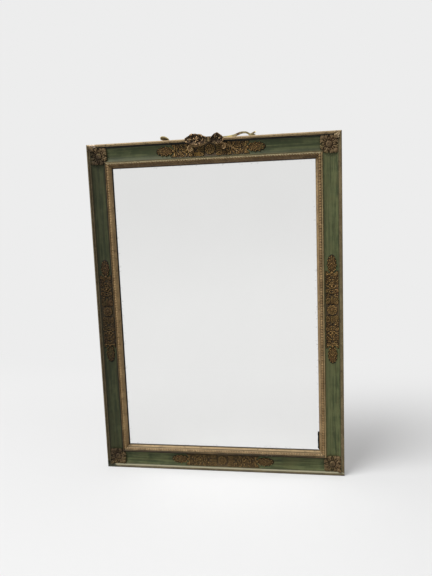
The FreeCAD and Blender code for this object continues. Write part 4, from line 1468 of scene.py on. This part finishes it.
# %% [markdown]
# The studio is a pale floor that curves up into a pale wall behind the mirror. A second sheet
# stands in front, behind the camera, so that the glass has something pale to show. It casts no
# shadow and the camera looks through it. Both sheets shine by themselves, far from the mirror.

# %% Studio
sheet_width = 12
wall_height = 5
dull_sheet = {"Emission Strength": 1.0, "Roughness": 0.9, "Specular IOR Level": 0.0}
floor_white, wall_white, black = (246, 246, 246), (237, 237, 237), (0, 0, 0)


def studio_sheet(name, run, turn_height):
    """A floor strip from y run[0] to run[1] that curves up into a wall at run[1]."""
    select_only()
    bpy.ops.mesh.primitive_plane_add(size=1, location=(0, sum(run) / 2, 0))
    sheet = bpy.context.object
    sheet.scale = (sheet_width, abs(run[1] - run[0]), 1)
    settle(sheet)
    sheet.name = name
    with points_of(sheet, lambda place: abs(place.y - run[1]) < 1 * MM):
        bpy.ops.mesh.extrude_region_move(TRANSFORM_OT_translate={"value": (0, 0, wall_height)})
    with points_of(sheet, lambda place: abs(place.y - run[1]) < 1 * MM and place.z < 1):
        bpy.ops.mesh.bevel(offset=turn_height, segments=24, affect="EDGES")
    bpy.ops.object.shade_smooth()
    return sheet


def is_seen(tree):
    """1 for what the camera or the glass sees, 0 for the light that falls on things."""
    rays = tree.nodes.new("ShaderNodeLightPath").outputs
    camera_ray, glossy, through = (
        Value(tree, rays[kind]) for kind in ("Is Camera Ray", "Is Glossy Ray", "Is Transmission Ray"))
    return compute("MAXIMUM", compute("MAXIMUM", camera_ray, glossy), through)


def backdrop_finish():
    """A floor that takes the light and the shadow near the mirror, and a wall of one plain tone."""
    material, shader, place = finish_of("pale_studio")
    back = split(place)[1]
    far = rising(back, 0.3, 1.4)
    plain = compute("MAXIMUM", far, rising(back * -1.0, 0.2, 1.2)) * is_seen(place.tree)
    feed(shader, dull_sheet | {
        "Base Color": blend(plain, (172, 172, 172), black),
        "Emission Color": blend(plain, (0.28, 0.28, 0.28, 1), blend(far, floor_white, wall_white))})
    return material


def front_finish():
    """The front sheet gives no light of its own to the mirror, and is a little darker higher up."""
    material, shader, place = finish_of("front_studio")
    height = split(place)[2]
    feed(shader, dull_sheet | {
        "Base Color": colour(*black),
        "Emission Color": blend(rising(height, 0.0, 0.9), floor_white, (239, 239, 239))})
    return material


backdrop = studio_sheet("backdrop", (-1.6, 6.0), 0.7)
backdrop.data.materials.append(backdrop_finish())
front_sheet = studio_sheet("front_sheet", (-1.6, -3.2), 1.1)
front_sheet.data.materials.append(front_finish())
front_sheet.visible_camera = False
front_sheet.visible_shadow = False
front_sheet.visible_diffuse = False
print("studio", backdrop.name, front_sheet.name)

# %% [markdown]
# The light is soft and comes from the upper left, as from a large window. The world fills the
# shadows. Together they are at the level at which a white card looks white.

# %% Light
lamp_place, lamp_aim = Vector((-3.4, -3.3, 7.4)), Vector((0, 0, 0.5))
lamp_data = bpy.data.lights.new("key", "AREA")
lamp_data.shape = "DISK"
lamp_data.size = 5.6
lamp_data.energy = 990
key = bpy.data.objects.new("key", lamp_data)
bpy.context.collection.objects.link(key)
lamp_turn = (lamp_aim - lamp_place).to_track_quat("-Z", "Y").to_matrix().to_4x4()
key.matrix_world = Matrix.Translation(lamp_place) @ lamp_turn
world = bpy.data.worlds.new("studio_world")
bpy.context.scene.world = world
world.use_nodes = True
background = next(node for node in world.node_tree.nodes if node.type == "BACKGROUND")
fill = blend(is_seen(world.node_tree), (0.34, 0.34, 0.34, 1), wall_white)
feed(background.inputs, {"Color": fill, "Strength": 1.0})
bpy.context.scene.view_settings.view_transform = "Standard"
print("lamp", key.name, "world", world.name)

# %% [markdown]
# Last, the master shapes go.

# %% Finish
discard(*masters)
bpy.context.view_layer.update()
